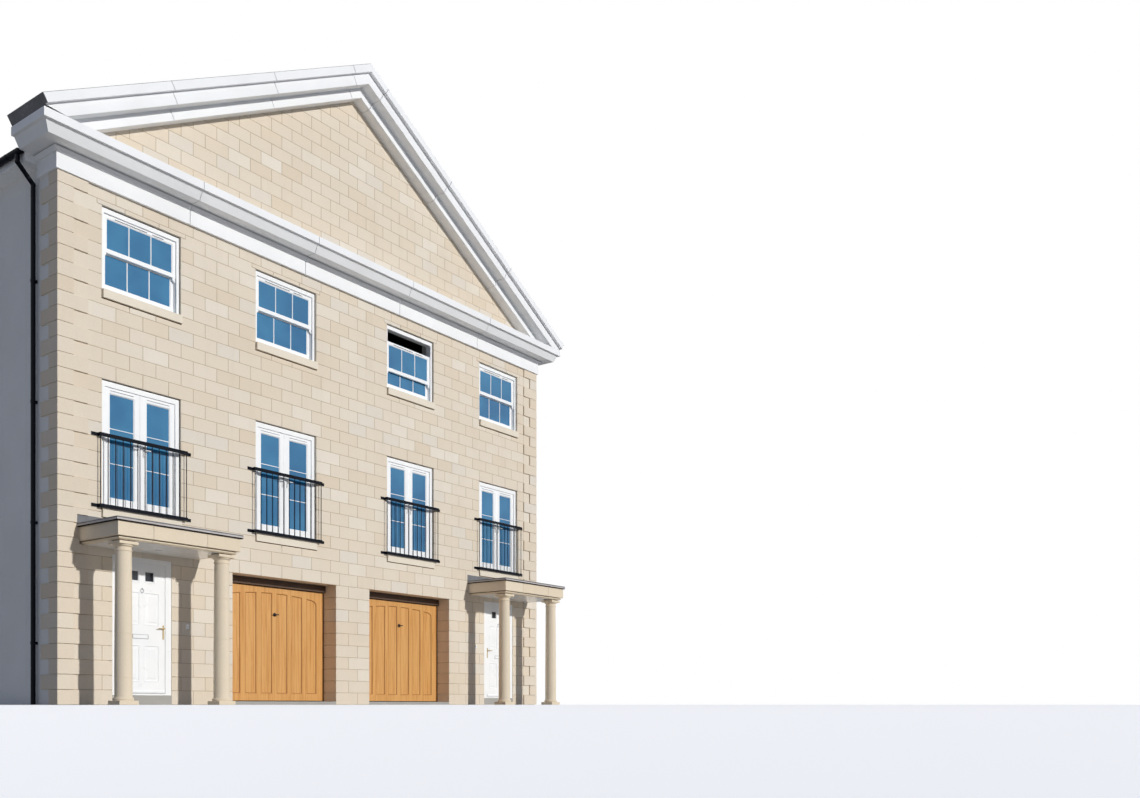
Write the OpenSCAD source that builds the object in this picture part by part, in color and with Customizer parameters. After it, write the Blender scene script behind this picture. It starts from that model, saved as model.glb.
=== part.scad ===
// A handed pair of three-storey town houses under one pediment.
// Millimetres, +Z up, the street front faces -Y, the origin is on the ground in the middle of the plan.

/* [Block] */
// Width of the stone front between its corners
front_w = 11475; // [11000:25:12500]
// Depth from the front wall face to the rear wall face
house_d = 9450; // [8500:50:10500]
// Thickness of the outer walls
wall_t = 340; // [300:10:380]
// Height of one course of stone
course_h = 225; // [215:5:235]
// Length of the stone and moulding returns on the sides
return_d = 500; // [450:10:560]

/* [Levels] */
// Top of the ground floor above the ground
ground_floor_z = 150; // [120:5:160]
// Top of the garage floors above the ground
garage_floor_z = 60; // [40:5:80]
// Top of the first floor
first_floor_z = 2950; // [2900:10:2990]
// Top of the second floor
second_floor_z = 5500; // [5400:10:5600]
// Thickness of the upper floors
floor_t = 250; // [200:10:280]
// Underside of the garage lintels
garage_head_z = 2250; // [2235:5:2265]
// Underside of the front door lintels
door_head_z = 2300; // [2290:5:2320]
// Underside of the upper French door sills
french_base_z = 2850; // [2820:5:2860]
// Head of the first floor openings
first_head_z = 4950; // [4850:25:5050]
// Underside of the top window sills
sash_base_z = 6175; // [6150:12.5:6200]
// Head of the top windows
sash_head_z = 7580; // [7540:5:7620]
// Underside of the architrave
architrave_z = 7825; // [7775:5:7850]

/* [Bays] */
// Centre of the outer bays from the middle of the front
outer_bay_x = 4387.5; // [4300:12.5:4500]
// Centre of the inner bays from the middle of the front
inner_bay_x = 1575; // [1525:12.5:1600]
// Width of the window and French door openings
window_w = 1350; // [1200:10:1400]
// Width of the front door openings
door_w = 1012; // [960:2:1060]
// Width of the garage openings
garage_w = 2300; // [2200:10:2320]
// Height of the openings of the rear first floor windows
rear_window_h = 1280; // [1200:10:1350]

/* [Sash windows] */
// Setback of the window frames behind the wall face
frame_recess = 45; // [35:5:60]
// Width of the frame members on the face
sash_frame_w = 55; // [45:5:65]
// Height of the head of the frames
sash_frame_head = 80; // [70:5:90]
// Setback of the upper sash behind the face of its frame
sash_setback = 25; // [15:5:30]
// Width of the sash stiles
stile_w = 56; // [48:1:62]
// Height of the bottom rail of the lower sash
bottom_rail_h = 90; // [80:5:100]
// Height of the top rails and meeting rails
sash_rail_h = 58; // [50:1:66]
// Thickness of one sash
sash_t = 45; // [40:1:50]
// Thickness of the stone sills of the sash windows
sill_h = 130; // [120:2.5:140]
// Projection of the sash window sills
sill_p = 45; // [30:5:60]
// Drop of the upper sash that stands open in the third bay
open_sash_drop = 230; // [0:10:300]

/* [French doors] */
// Height of the stone sills of the French doors
french_sill_h = 155; // [140:5:160]
// Projection of the French door sills
french_sill_p = 28; // [20:2:36]
// Width of the frame members
french_frame_w = 75; // [65:5:80]
// Height of the head of the frames
french_frame_head = 90; // [80:5:100]
// Setback of the leaves behind the face of their frame
french_setback = 20; // [10:5:25]
// Width of the hinge stile of each leaf
french_stile_w = 84; // [75:1:95]
// Width of the meeting stile of each leaf
french_meeting_w = 102; // [90:1:110]
// Height of the top rail of each leaf
french_top_rail_h = 88; // [80:1:100]
// Height of the bottom rail of each leaf
french_bottom_rail_h = 131; // [110:1:150]
// Thickness of one leaf
french_leaf_t = 55; // [45:5:65]

/* [Balconies] */
// Height of the rail tops above the underside of the bottom rail
balcony_h = 1125; // [1000:5:1200]
// Underside of the bottom rail
balcony_z = 2985; // [2960:5:3000]
// Distance between the bars
bar_pitch = 122.5; // [100:2.5:130]
// Diameter of the bars
bar_dia = 14; // [12:1:18]
// Number of bars
bar_count = 13; // [11:2:13]
// Height of the flat rails
rail_h = 50; // [40:5:60]
// Depth of the flat rails
rail_d = 40; // [30:5:45]
// Gap between the wall face and the back of the rails
rail_gap = 40; // [30:5:60]
// Length of the wall plates beyond the rails
plate_l = 100; // [80:10:110]

/* [Porches] */
// Width of the stone canopy
porch_w = 2080; // [2040:10:2120]
// Projection of the stone canopy
porch_p = 1045; // [980:5:1080]
// Underside of the canopy
canopy_z = 2385; // [2375:5:2395]
// Height of the stone canopy
canopy_h = 255; // [245:5:265]
// Thickness of the lead roof at its edge
lead_edge_h = 60; // [45:5:70]
// Overhang of the lead roof
lead_edge_p = 35; // [25:5:45]
// Setback of the foot of the canopy behind its face
foot_setback = 55; // [45:5:60]
// Width of the stone edge round the soffit
soffit_edge_w = 30; // [20:5:50]
// Distance from the canopy face to the middle of the columns
column_in = 205; // [205:5:215]
// Width of the square caps of the columns
cap_w = 300; // [290:2:300]
// Diameter of the columns at the foot
column_dia = 246; // [230:2:250]
// Diameter of the columns at the neck
column_neck_dia = 222; // [210:2:226]

/* [Front doors] */
// Width of the frame members
door_frame_w = 90; // [80:5:100]
// Height of the frame head
door_frame_head = 65; // [60:5:80]
// Height of the threshold
door_sill_h = 25; // [15:5:30]
// Thickness of the leaf
door_t = 44; // [40:1:50]
// Running clearance round the leaf
door_gap = 6.5; // [6:0.5:8]
// Depth of the frame in front of the leaf
door_lip_t = 7; // [6:1:10]
// Setback of the frame behind the wall face
door_recess = 15; // [10:5:30]

/* [Garage doors] */
// Height of the garage leaf
garage_leaf_h = 2040; // [1990:5:2045]
// Thickness of the garage leaf
garage_leaf_t = 45; // [40:1:50]
// Clearance between the leaf and the reveals
garage_gap = 8; // [6:1:10]
// Clearance between the garage floor and the leaf
garage_foot_gap = 15; // [10:1:20]
// Depth of the sunk panels
panel_depth = 12; // [8:1:14]
// Width of the sunk panels
panel_w = 248; // [230:2:260]
// Distance between the sunk panels
panel_pitch = 342; // [330:2:345]
// Radius of the runner wheels
runner_r = 14.5; // [12:0.5:16]

/* [Cornice] */
// Projection of the architrave
architrave_p = 55; // [45:5:65]
// Height of the architrave
architrave_h = 235; // [225:5:240]
// Height of the bed mould
bed_h = 80; // [70:5:85]
// Projection of the foot of the bed mould
bed_foot_p = 75; // [70:5:90]
// Projection of the head of the bed mould
bed_head_p = 118; // [105:1:130]
// Projection of the foot of the sloping face
slope_foot_p = 310; // [290:5:320]
// Projection of the head of the sloping face
slope_head_p = 385; // [360:5:395]
// Height of the sloping face
slope_h = 145; // [135:5:150]
// Projection of the top band
band_p = 430; // [410:5:450]
// Height of the top band
band_h = 130; // [120:5:140]

/* [Pediment] */
// Pitch of the roof and of the raking cornice
pitch = 29.7; // [28.5:0.1:30]
// Top of the raking cornice on the middle line
rake_top_z = 12100; // [12000:10:12200]
// Overhang of the raking cornice ends beyond the wall corners
rake_over = 480; // [450:5:500]
// Projections of the three raking bands from the top down
rake_p1 = 500; // [480:5:520]
rake_p2 = 430; // [410:5:450]
rake_p3 = 220; // [200:5:240]
// Heights of the three raking bands, measured square to the slope
rake_h1 = 130; // [120:2:140]
rake_h2 = 182; // [170:2:190]
rake_h3 = 166; // [150:2:175]

/* [Roof] */
// Top of the slates on the middle line
slate_top_z = 11600; // [11580:5:11620]
// Thickness of the roof, measured upright
roof_t = 160; // [140:5:170]
// Overhang of the roof beyond the side walls
eaves_over = 212.5; // [200:2.5:240]
// Overhang of the roof beyond the rear wall
verge_over = 60; // [40:5:80]
// Thickness of the lead sheet
lead_t = 8; // [5:1:10]
// Outer radius of the half-round gutters
gutter_r = 56; // [50:1:62]
// Wall of the gutters
gutter_t = 4; // [3:0.5:5]
// Radius of the downpipes
pipe_r = 34; // [30:1:38]
// Thickness of the eaves boards
board_t = 20; // [15:1:25]

/* [Corner stones] */
// Projection of the corner stones
quoin_p = 25; // [20:1:30]
// Long face of a corner stone
quoin_long = 450; // [420:10:470]
// Short face of a corner stone
quoin_short = 225; // [200:5:240]
// Joint between two corner stones
quoin_joint = 6; // [4:1:8]

/* [Hidden] */

stone = "wheat";
white = "white";
render_white = "gainsboro";
lead_grey = "dimgray";
slate = "darkslategray";
black = "#1d2230";
oak = "peru";

half_w = front_w / 2;
front_y = -house_d / 2;
rear_y = house_d / 2;
inner_x = half_w - wall_t;
bays = [-outer_bay_x, -inner_bay_x, inner_bay_x, outer_bay_x];
door_bays = [-outer_bay_x, outer_bay_x];
garage_bays = [-inner_bay_x, inner_bay_x];
eps = 0.3;

rear_door_base_z = ground_floor_z;
rear_sill_z = first_head_z - rear_window_h - sill_h;
rear_ground_sill_z = door_head_z - rear_window_h - sill_h;
sash_h = sash_head_z - sash_base_z - sill_h;
french_h = first_head_z - french_base_z - french_sill_h;

cornice_z = architrave_z + architrave_h;
soffit_z = cornice_z + bed_h;
slope_top_z = soffit_z + slope_h;
cornice_top_z = slope_top_z + band_h;

fall = tan(pitch);
rake_h = rake_h1 + rake_h2 + rake_h3;
tympanum_top_z = rake_top_z - rake_h / cos(pitch);
rake_len = (half_w + rake_over) / cos(pitch);
eaves_x = half_w + eaves_over;

function slate_z(x) = slate_top_z - fall * x;
function roof_under_z(x) = slate_z(x) - roof_t;
function wall_top_z(x) = roof_under_z(x) - eps;

garage_plane_y = wall_t + 5;
garage_leaf_w = garage_w - 2 * garage_gap;
garage_leaf_z = garage_floor_z + garage_foot_gap;
runner_y = garage_plane_y + garage_leaf_t / 2;
runner_z = garage_leaf_z + garage_leaf_h / 2;
track_x = garage_w / 2 + 10;
track_in = 25;
track_wall = 4;
post_w = 90;
post_d = 80;

module block(x0, x1, y0, y1, z0, z1) {
    translate([x0, y0, z0]) cube([x1 - x0, y1 - y0, z1 - z0]);
}

// Children drawn with the front wall face at y = 0 and the inside at +y
module at_front() {
    translate([0, front_y, 0]) children();
}

// Children drawn with the rear wall face at y = 0 and the inside at +y
module at_rear() {
    translate([0, rear_y, 0]) mirror([0, 1, 0]) children();
}

module left_and_right() {
    children();
    mirror([1, 0, 0]) children();
}

// Outline in x and z, drawn from y0 to y1
module upright(y0, y1, points) {
    translate([0, y1, 0]) rotate([90, 0, 0]) linear_extrude(y1 - y0) polygon(points);
}

// Wall of five piers between four openings
module piers(z0, z1, widths, thickness) {
    edges = [for (i = [0:3]) [bays[i] - widths[i] / 2, bays[i] + widths[i] / 2]];
    block(-half_w, edges[0][0], 0, thickness, z0, z1);
    for (i = [0:2]) block(edges[i][1], edges[i + 1][0], 0, thickness, z0, z1);
    block(edges[3][1], half_w, 0, thickness, z0, z1);
}

// Floors

garage_bay_in = 250;
garage_bay_out = 2875;
garage_bay_d = 5500;

module ground_floor_slab() {
    color("darkgray") at_front() {
        difference() {
            block(-inner_x, inner_x, wall_t, house_d - wall_t, 0, ground_floor_z);
            left_and_right()
                block(garage_bay_in, garage_bay_out, 0, garage_bay_d, -1, ground_floor_z + 1);
        }
        for (x = door_bays) block(x - door_w / 2, x + door_w / 2, 0, wall_t, 0, ground_floor_z);
    }
}

module garage_slabs() {
    color("silver") at_front() for (x = garage_bays) {
        block(x - garage_w / 2, x + garage_w / 2, 0, wall_t, 0, garage_floor_z);
        block(abs(x) == x ? garage_bay_in : -garage_bay_out, abs(x) == x ? garage_bay_out : -garage_bay_in,
              wall_t, garage_bay_d, 0, garage_floor_z);
    }
}

module upper_floor(top_z) {
    block(-inner_x, inner_x, front_y + wall_t, rear_y - wall_t, top_z - floor_t, top_z);
}

module upper_floors() {
    color("burlywood") {
        upper_floor(first_floor_z);
        upper_floor(second_floor_z);
    }
}

// Stone front

module front_piers() {
    windows = [for (x = bays) window_w];
    color(stone) at_front() {
        piers(0, garage_head_z, [door_w, garage_w, garage_w, door_w], wall_t);
        piers(french_base_z, first_head_z, windows, wall_t);
        piers(sash_base_z, sash_head_z, windows, wall_t);
    }
}

module front_bands() {
    color(stone) at_front() {
        difference() {
            block(-half_w, half_w, 0, wall_t, garage_head_z, french_base_z);
            for (x = door_bays)
                block(x - door_w / 2, x + door_w / 2, -1, wall_t + 1, garage_head_z - 1, door_head_z);
        }
        block(-half_w, half_w, 0, wall_t, first_head_z, sash_base_z);
        block(-half_w, half_w, 0, wall_t, sash_head_z, cornice_top_z);
    }
}

module pediment_wall() {
    reach = (tympanum_top_z - eps - cornice_top_z) / fall;
    color(stone) at_front()
        upright(0, wall_t, [[-reach, cornice_top_z], [reach, cornice_top_z], [0, tympanum_top_z - eps]]);
}

module stone_returns() {
    color(stone) at_front() left_and_right() block(inner_x, half_w, wall_t, return_d, 0, cornice_top_z);
}

// One corner stone wraps the corner with a long and a short face
module corner_stone(z, h, front_l, side_l) {
    block(half_w - front_l, half_w + quoin_p, -quoin_p, 0, z, z + h);
    block(half_w, half_w + quoin_p, -quoin_p, side_l, z, z + h);
}

module corner_stones() {
    count = ceil(architrave_z / course_h);
    porch_reach = outer_bay_x + porch_w / 2 + lead_edge_p;
    color(stone) at_front() left_and_right() difference() {
        for (k = [0:count - 1]) {
            z = k * course_h;
            long_front = k % 2 == 0;
            corner_stone(z, min(course_h - quoin_joint, architrave_z - z),
                         long_front ? quoin_long : quoin_short, long_front ? quoin_short : quoin_long);
        }
        // The stones stop where the porch roof meets the wall
        block(0, porch_reach, -quoin_p - 1, 1, canopy_z, canopy_z + canopy_h + lead_edge_h + flashing_h);
    }
}

// Rendered side and rear walls

module side_walls() {
    y0 = front_y + return_d;
    y1 = rear_y - wall_t;
    color(render_white) left_and_right()
        upright(y0, y1, [[inner_x, 0], [half_w, 0], [half_w, wall_top_z(half_w)], [inner_x, wall_top_z(inner_x)]]);
}

module rear_piers() {
    widths = [for (x = bays) window_w];
    color(render_white) at_rear() {
        piers(0, door_head_z, widths, wall_t);
        piers(rear_sill_z, first_head_z, widths, wall_t);
        piers(sash_base_z, sash_head_z, widths, wall_t);
    }
}

module rear_bands() {
    eaves_z = wall_top_z(half_w);
    color(render_white) at_rear() {
        for (x = bays)
            block(x - window_w / 2, x + window_w / 2, 0, wall_t, 0,
                  abs(x) == outer_bay_x ? rear_ground_sill_z : rear_door_base_z);
        block(-half_w, half_w, 0, wall_t, door_head_z, rear_sill_z);
        block(-half_w, half_w, 0, wall_t, first_head_z, sash_base_z);
        // The top band rises into the gable
        upright(0, wall_t, [[-half_w, sash_head_z], [half_w, sash_head_z], [half_w, eaves_z],
                            [0, wall_top_z(0)], [-half_w, eaves_z]]);
    }
}

// Cornice and pediment

// Projection and height of the cornice, from the foot of the architrave to the top band
cornice_outline = [
    [architrave_p, architrave_z], [architrave_p, cornice_z], [bed_foot_p, cornice_z],
    [bed_head_p, soffit_z], [slope_foot_p, soffit_z], [slope_head_p, slope_top_z],
    [band_p, slope_top_z], [band_p, cornice_top_z]
];

module cornice() {
    back = return_d;
    color(white) at_front() difference() {
        intersection() {
            // The run along the front
            translate([-half_w - band_p - 1, 0, 0]) rotate([90, 0, 90])
                linear_extrude(front_w + 2 * band_p + 2)
                    polygon(concat([[back, cornice_top_z], [back, architrave_z]], [for (p = cornice_outline) [-p[0], p[1]]]));
            // The returns along both sides
            upright(-band_p - 1, back, concat(
                [for (p = cornice_outline) [half_w + p[0], p[1]]],
                [for (i = [len(cornice_outline) - 1:-1:0]) [-half_w - cornice_outline[i][0], cornice_outline[i][1]]]));
        }
        block(-half_w, half_w, 0, back + 1, architrave_z - 1, cornice_top_z + 1);
    }
}

// Section of the raking cornice: y across the wall, z down from its top, square to the slope
rake_section = [
    [return_d, 0], [-rake_p1, 0], [-rake_p1, -rake_h1], [-rake_p2, -rake_h1],
    [-rake_p2, -rake_h1 - rake_h2], [-rake_p3, -rake_h1 - rake_h2], [-rake_p3, -rake_h], [return_d, -rake_h]
];

// Children in y and z, run down the right-hand slope from beyond the middle line
module along_rake() {
    start = rake_h;
    translate([0, 0, rake_top_z]) rotate([0, pitch, 0]) translate([-start, 0, 0])
        rotate([90, 0, 90]) linear_extrude(rake_len + start) children();
}

module raking_cornice() {
    color(white) left_and_right() difference() {
        at_front() along_rake() polygon(rake_section);
        rake_trim();
    }
}

// What is cut from each half of a piece that runs down the slopes: the far side of the middle line
// and all that lies below the top of the cornice
module rake_trim() {
    reach = 2 * return_d;
    block(-reach, 0, front_y - reach, front_y + reach, cornice_top_z, rake_top_z + reach);
    block(-reach, half_w + reach, front_y - reach, front_y + reach, cornice_top_z - reach, cornice_top_z);
}

lead_set_back = 15;
lead_drop = (rake_top_z - slate_top_z) * cos(pitch) - 14;

module lead_capping() {
    color(lead_grey) left_and_right() difference() {
        at_front() along_rake()
            polygon([[-rake_p1 + lead_set_back, 0], [-rake_p1 + lead_set_back, lead_t], [return_d + lead_t, lead_t],
                     [return_d + lead_t, -lead_drop], [return_d, -lead_drop], [return_d, 0]]);
        rake_trim();
    }
}

// Roof

module roof_slope() {
    y0 = front_y + return_d + lead_t + eps;
    y1 = rear_y + verge_over;
    upright(y0, y1, [[0, slate_top_z], [eaves_x, slate_z(eaves_x)], [eaves_x, roof_under_z(eaves_x)], [0, roof_under_z(0)]]);
}

module roof_slope_right() {
    color(slate) roof_slope();
}

module roof_slope_left() {
    color(slate) mirror([1, 0, 0]) roof_slope();
}

ridge_w = 170;
ridge_t = 30;

module ridge_tiles() {
    foot_z = slate_z(ridge_w) + eps;
    color(lead_grey) upright(front_y + return_d + lead_t + eps, rear_y + verge_over,
        [[0, slate_top_z + eps], [ridge_w, foot_z], [ridge_w, foot_z + ridge_t],
         [0, slate_top_z + eps + ridge_t], [-ridge_w, foot_z + ridge_t], [-ridge_w, foot_z]]);
}

fascia_x = eaves_x + board_t;
fascia_drop = 26;
verge_board_h = 170;

// Open joint between two boards
board_joint = 1;

module eaves_boards() {
    y0 = front_y + return_d;
    z0 = roof_under_z(eaves_x) - fascia_drop;
    end_x = eaves_x - board_joint;
    color(white) left_and_right() {
        block(eaves_x, fascia_x, y0, rear_y + verge_over, z0, slate_z(eaves_x) - fascia_drop);
        block(half_w, end_x, y0, rear_y - board_joint, z0, z0 + board_t);
        // Verge board in two halves with a joint on the middle line
        upright(rear_y, rear_y + board_t, [
            [board_joint, wall_top_z(board_joint)], [end_x, wall_top_z(end_x)], [end_x, wall_top_z(end_x) - fascia_drop],
            [half_w, wall_top_z(half_w) - verge_board_h], [board_joint, wall_top_z(board_joint) - verge_board_h]]);
    }
}

gutter_x = fascia_x + gutter_r + eps;
gutter_z = slate_z(eaves_x) - 50;
gutter_end_t = 5;

module gutters() {
    y0 = front_y + return_d;
    y1 = rear_y + verge_over;
    color(black) left_and_right() translate([gutter_x, y0, gutter_z]) rotate([-90, 0, 0]) {
        linear_extrude(y1 - y0) difference() {
            circle(gutter_r, $fn = 64);
            circle(gutter_r - gutter_t, $fn = 64);
            translate([-2 * gutter_r, -2 * gutter_r]) square([4 * gutter_r, 2 * gutter_r]);
        }
        for (y = [0, y1 - y0 - gutter_end_t]) translate([0, 0, y]) linear_extrude(gutter_end_t) difference() {
            circle(gutter_r - 0.5, $fn = 64);
            translate([-2 * gutter_r, -2 * gutter_r]) square([4 * gutter_r, 2 * gutter_r]);
        }
    }
}

pipe_y = 600;
pipe_wall_gap = 25;
pipe_x = half_w + pipe_wall_gap + pipe_r;
pipe_neck_z = gutter_z - gutter_r - 105;
pipe_bend_z = pipe_neck_z - 240;
bend_swell = 5;
clip_pitch = 1800;
clip_h = 40;

module pipe_run(a, b) {
    v = b - a;
    translate(a) rotate([0, acos(v[2] / norm(v)), atan2(v[1], v[0])]) cylinder(h = norm(v), r = pipe_r, $fn = 48);
}

module downpipes() {
    top = [gutter_x, pipe_y, gutter_z - gutter_r - eps];
    neck = [gutter_x, pipe_y, pipe_neck_z];
    bend = [pipe_x, pipe_y, pipe_bend_z];
    color(black) at_front() left_and_right() {
        pipe_run(neck, top);
        translate(neck) sphere(r = pipe_r + bend_swell, $fn = 48);
        pipe_run(bend, neck);
        translate(bend) sphere(r = pipe_r + bend_swell, $fn = 48);
        pipe_run([pipe_x, pipe_y, 0], bend);
        for (z = [clip_pitch / 2:clip_pitch:pipe_bend_z - clip_h]) translate([0, 0, z]) {
            translate([pipe_x, pipe_y, 0]) cylinder(h = clip_h, r = pipe_r + bend_swell, $fn = 48);
            block(half_w, pipe_x, pipe_y - 20, pipe_y + 20, 0, clip_h);
        }
    }
}

// Sash windows: every child module stands on the middle of the sill top, with the wall face at y = 0

sash_sill_w = 36;
sash_gap = 5;
upper_y = frame_recess + sash_setback;
lower_y = upper_y + sash_t + sash_gap;
frame_d = lower_y + sash_t + sash_gap - frame_recess;
glass_t = 20;

module ring(w, h, y0, y1, side, foot, head) {
    difference() {
        block(-w / 2, w / 2, y0, y1, 0, h);
        block(-w / 2 + side, w / 2 - side, y0 - 1, y1 + 1, foot, h - head);
    }
}

module sash_frame(h) {
    ring(window_w, h, frame_recess, frame_recess + frame_d, sash_frame_w, sash_sill_w, sash_frame_head);
}

sash_w = window_w - 2 * sash_frame_w;

function light_h(h) = h - sash_frame_head - sash_sill_w;
function upper_sash_z(h) = sash_sill_w + light_h(h) / 2 - 10;
function upper_sash_h(h) = h - sash_frame_head - upper_sash_z(h);
// The meeting rails of the two sashes stand level
function lower_sash_h(h) = upper_sash_z(h) + sash_rail_h - sash_sill_w;

module upper_sash(h, drop) {
    translate([0, 0, upper_sash_z(h) - drop])
        ring(sash_w, upper_sash_h(h), upper_y, upper_y + sash_t, stile_w, sash_rail_h, sash_rail_h);
}

module lower_sash(h) {
    translate([0, 0, sash_sill_w])
        ring(sash_w, lower_sash_h(h), lower_y, lower_y + sash_t, stile_w, bottom_rail_h, sash_rail_h);
}

module pane(w, z0, z1, y_mid) {
    block(-w / 2, w / 2, y_mid - glass_t / 2, y_mid + glass_t / 2, z0, z1);
}

module sash_panes(h, drop) {
    glass_w = sash_w - 2 * stile_w;
    pane(glass_w, upper_sash_z(h) - drop + sash_rail_h, h - sash_frame_head - drop - sash_rail_h, upper_y + sash_t / 2);
    pane(glass_w, sash_sill_w + bottom_rail_h, sash_sill_w + lower_sash_h(h) - sash_rail_h, lower_y + sash_t / 2);
}

function drop_at(i) = i == 2 ? open_sash_drop : 0;

// Calls its children at every sash window, with $h the height of the opening and $drop the open upper sash
module at_sash_windows() {
    at_front() for (i = [0:3]) translate([bays[i], 0, sash_base_z + sill_h])
        let ($h = sash_h, $drop = drop_at(i)) children();
    at_rear() for (i = [0:3]) {
        translate([bays[i], 0, sash_base_z + sill_h]) let ($h = sash_h, $drop = 0) children();
        translate([bays[i], 0, rear_sill_z + sill_h]) let ($h = rear_window_h, $drop = 0) children();
    }
    at_rear() for (x = door_bays)
        translate([x, 0, rear_ground_sill_z + sill_h]) let ($h = rear_window_h, $drop = 0) children();
}

module window_frames() {
    color(white) {
        at_sash_windows() sash_frame($h);
        at_french_doors() french_frame($h);
    }
}

module window_sashes() {
    color(white) at_sash_windows() {
        upper_sash($h, $drop);
        lower_sash($h);
    }
}

module sash_sill() {
    block(-window_w / 2, window_w / 2, -sill_p, wall_t, -sill_h, 0);
}

// French doors: drawn like the windows, with the foot of the frame at z = 0

french_foot = 30;
french_leaf_y = frame_recess + french_setback;
french_d = french_setback + french_leaf_t + 10;
french_meeting_gap = 3;

module french_frame(h) {
    ring(window_w, h, frame_recess, frame_recess + french_d, french_frame_w, french_foot, french_frame_head);
}

french_leaf_x = french_meeting_gap / 2;
french_leaf_w = window_w / 2 - french_frame_w - french_leaf_x;
french_pane_w = french_leaf_w - french_meeting_w - french_stile_w;

module french_leaf(h) {
    x1 = french_leaf_x + french_meeting_w;
    top_z = h - french_frame_head;
    difference() {
        block(french_leaf_x, french_leaf_x + french_leaf_w, french_leaf_y, french_leaf_y + french_leaf_t, french_foot, top_z);
        block(x1, x1 + french_pane_w, french_leaf_y - 1, french_leaf_y + french_leaf_t + 1,
              french_foot + french_bottom_rail_h, top_z - french_top_rail_h);
    }
}

module french_pane(h) {
    translate([french_leaf_x + french_meeting_w + french_pane_w / 2, 0, 0])
        pane(french_pane_w, french_foot + french_bottom_rail_h, h - french_frame_head - french_top_rail_h,
             french_leaf_y + french_leaf_t / 2);
}

module at_french_doors() {
    at_front() for (x = bays) translate([x, 0, french_base_z + french_sill_h]) let ($h = french_h) children();
    at_rear() for (x = garage_bays)
        translate([x, 0, rear_door_base_z]) let ($h = door_head_z - rear_door_base_z) children();
}

module french_doors() {
    color(white) at_french_doors() left_and_right() french_leaf($h);
}

module window_glass() {
    color("steelblue") {
        at_sash_windows() sash_panes($h, $drop);
        at_french_doors() left_and_right() french_pane($h);
    }
}

module window_sills() {
    color(stone) {
        at_sash_windows() sash_sill();
        at_front() for (x = bays)
            block(x - window_w / 2, x + window_w / 2, -french_sill_p, wall_t, french_base_z, french_base_z + french_sill_h);
    }
}

// Balconies

rail_l = (bar_count - 1) * bar_pitch + 2 * bar_dia;
plate_t = 12;
stay_w = 20;

module balcony() {
    for (z = [0, balcony_h - rail_h]) {
        block(-rail_l / 2, rail_l / 2, -rail_gap - rail_d, -rail_gap, z, z + rail_h);
        left_and_right() {
            block(rail_l / 2 - stay_w, rail_l / 2, -rail_gap - rail_d / 2, 0, z, z + rail_h);
            block(rail_l / 2 - stay_w, rail_l / 2 + plate_l, -plate_t, 0, z, z + rail_h);
        }
    }
    for (i = [0:bar_count - 1])
        translate([(i - (bar_count - 1) / 2) * bar_pitch, -rail_gap - rail_d / 2, rail_h / 2])
            cylinder(h = balcony_h - rail_h, d = bar_dia, $fn = 24);
}

module balconies() {
    color(black) at_front() for (x = bays) translate([x, 0, balcony_z]) balcony();
}

// Porches: every child module stands on the ground in the middle of the doorway

cap_h = 43;
// Thin pad between the cap and the canopy
pad_h = 15;
pad_in = 20;
echinus_h = 34;
cap_z = canopy_z - pad_h - cap_h;
neck_z = cap_z - echinus_h - 60;
column_plinth_h = 60;
plinth_out = 28;
column_base_h = 50;
soffit_t = 10;
soffit_light_dia = 90;
soffit_light_in = 620;
// Edges of the soffit
soffit_x = porch_w / 2 - foot_setback - soffit_edge_w;
soffit_y = -porch_p + foot_setback + soffit_edge_w;

module column() {
    foot_r = column_dia / 2;
    neck_r = column_neck_dia / 2;
    shaft_z = column_plinth_h + column_base_h;
    plinth_r = foot_r + plinth_out;
    block(-plinth_r, plinth_r, -plinth_r, plinth_r, 0, column_plinth_h);
    rotate_extrude($fn = 64) polygon(concat(
        [[0, column_plinth_h], [foot_r + 20, column_plinth_h]],
        [for (a = [-60:20:60]) [foot_r + 8 + 14 * cos(a), column_plinth_h + 22 + 18 * sin(a)]],
        [[foot_r + 4, shaft_z - 6], [foot_r + 4, shaft_z], [foot_r, shaft_z + 8], [foot_r, shaft_z + 500]],
        [for (t = [0.25:0.25:1]) [foot_r + (neck_r - foot_r) * t * (0.6 + 0.4 * t),
                                  shaft_z + 500 + (neck_z - shaft_z - 500) * t]],
        [[neck_r + 9, neck_z + 4], [neck_r + 9, neck_z + 16], [neck_r, neck_z + 20], [neck_r, cap_z - echinus_h]],
        [for (a = [0:22.5:90]) [neck_r + 6 + 22 * sin(a), cap_z - echinus_h + 4 + (echinus_h - 4) * (1 - cos(a))]],
        [[0, cap_z]]));
    pad_r = cap_w / 2 - pad_in;
    block(-cap_w / 2, cap_w / 2, -cap_w / 2, cap_w / 2, cap_z, cap_z + cap_h);
    block(-pad_r, pad_r, -pad_r, pad_r, cap_z + cap_h, canopy_z);
}

module at_porches() {
    at_front() for (x = door_bays) translate([x, 0, 0]) children();
}

module porch_columns() {
    color(stone) at_porches() left_and_right()
        translate([porch_w / 2 - column_in, -porch_p + column_in, 0]) column();
}

moulding_p = 30;
moulding_h = 36;
quirk_d = 12;
quirk_h = 8;
// Setback and height of the canopy face: a rounded moulding, a quirk and the flat fascia
canopy_outline = concat(
    [[foot_setback, 0]],
    [for (a = [0:22.5:90]) [foot_setback - moulding_p * sin(a), 4 + (moulding_h - 4) * (1 - cos(a))]],
    [[foot_setback - moulding_p + quirk_d, moulding_h], [foot_setback - moulding_p + quirk_d, moulding_h + quirk_h],
     [0, moulding_h + quirk_h], [0, canopy_h]]);

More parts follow.
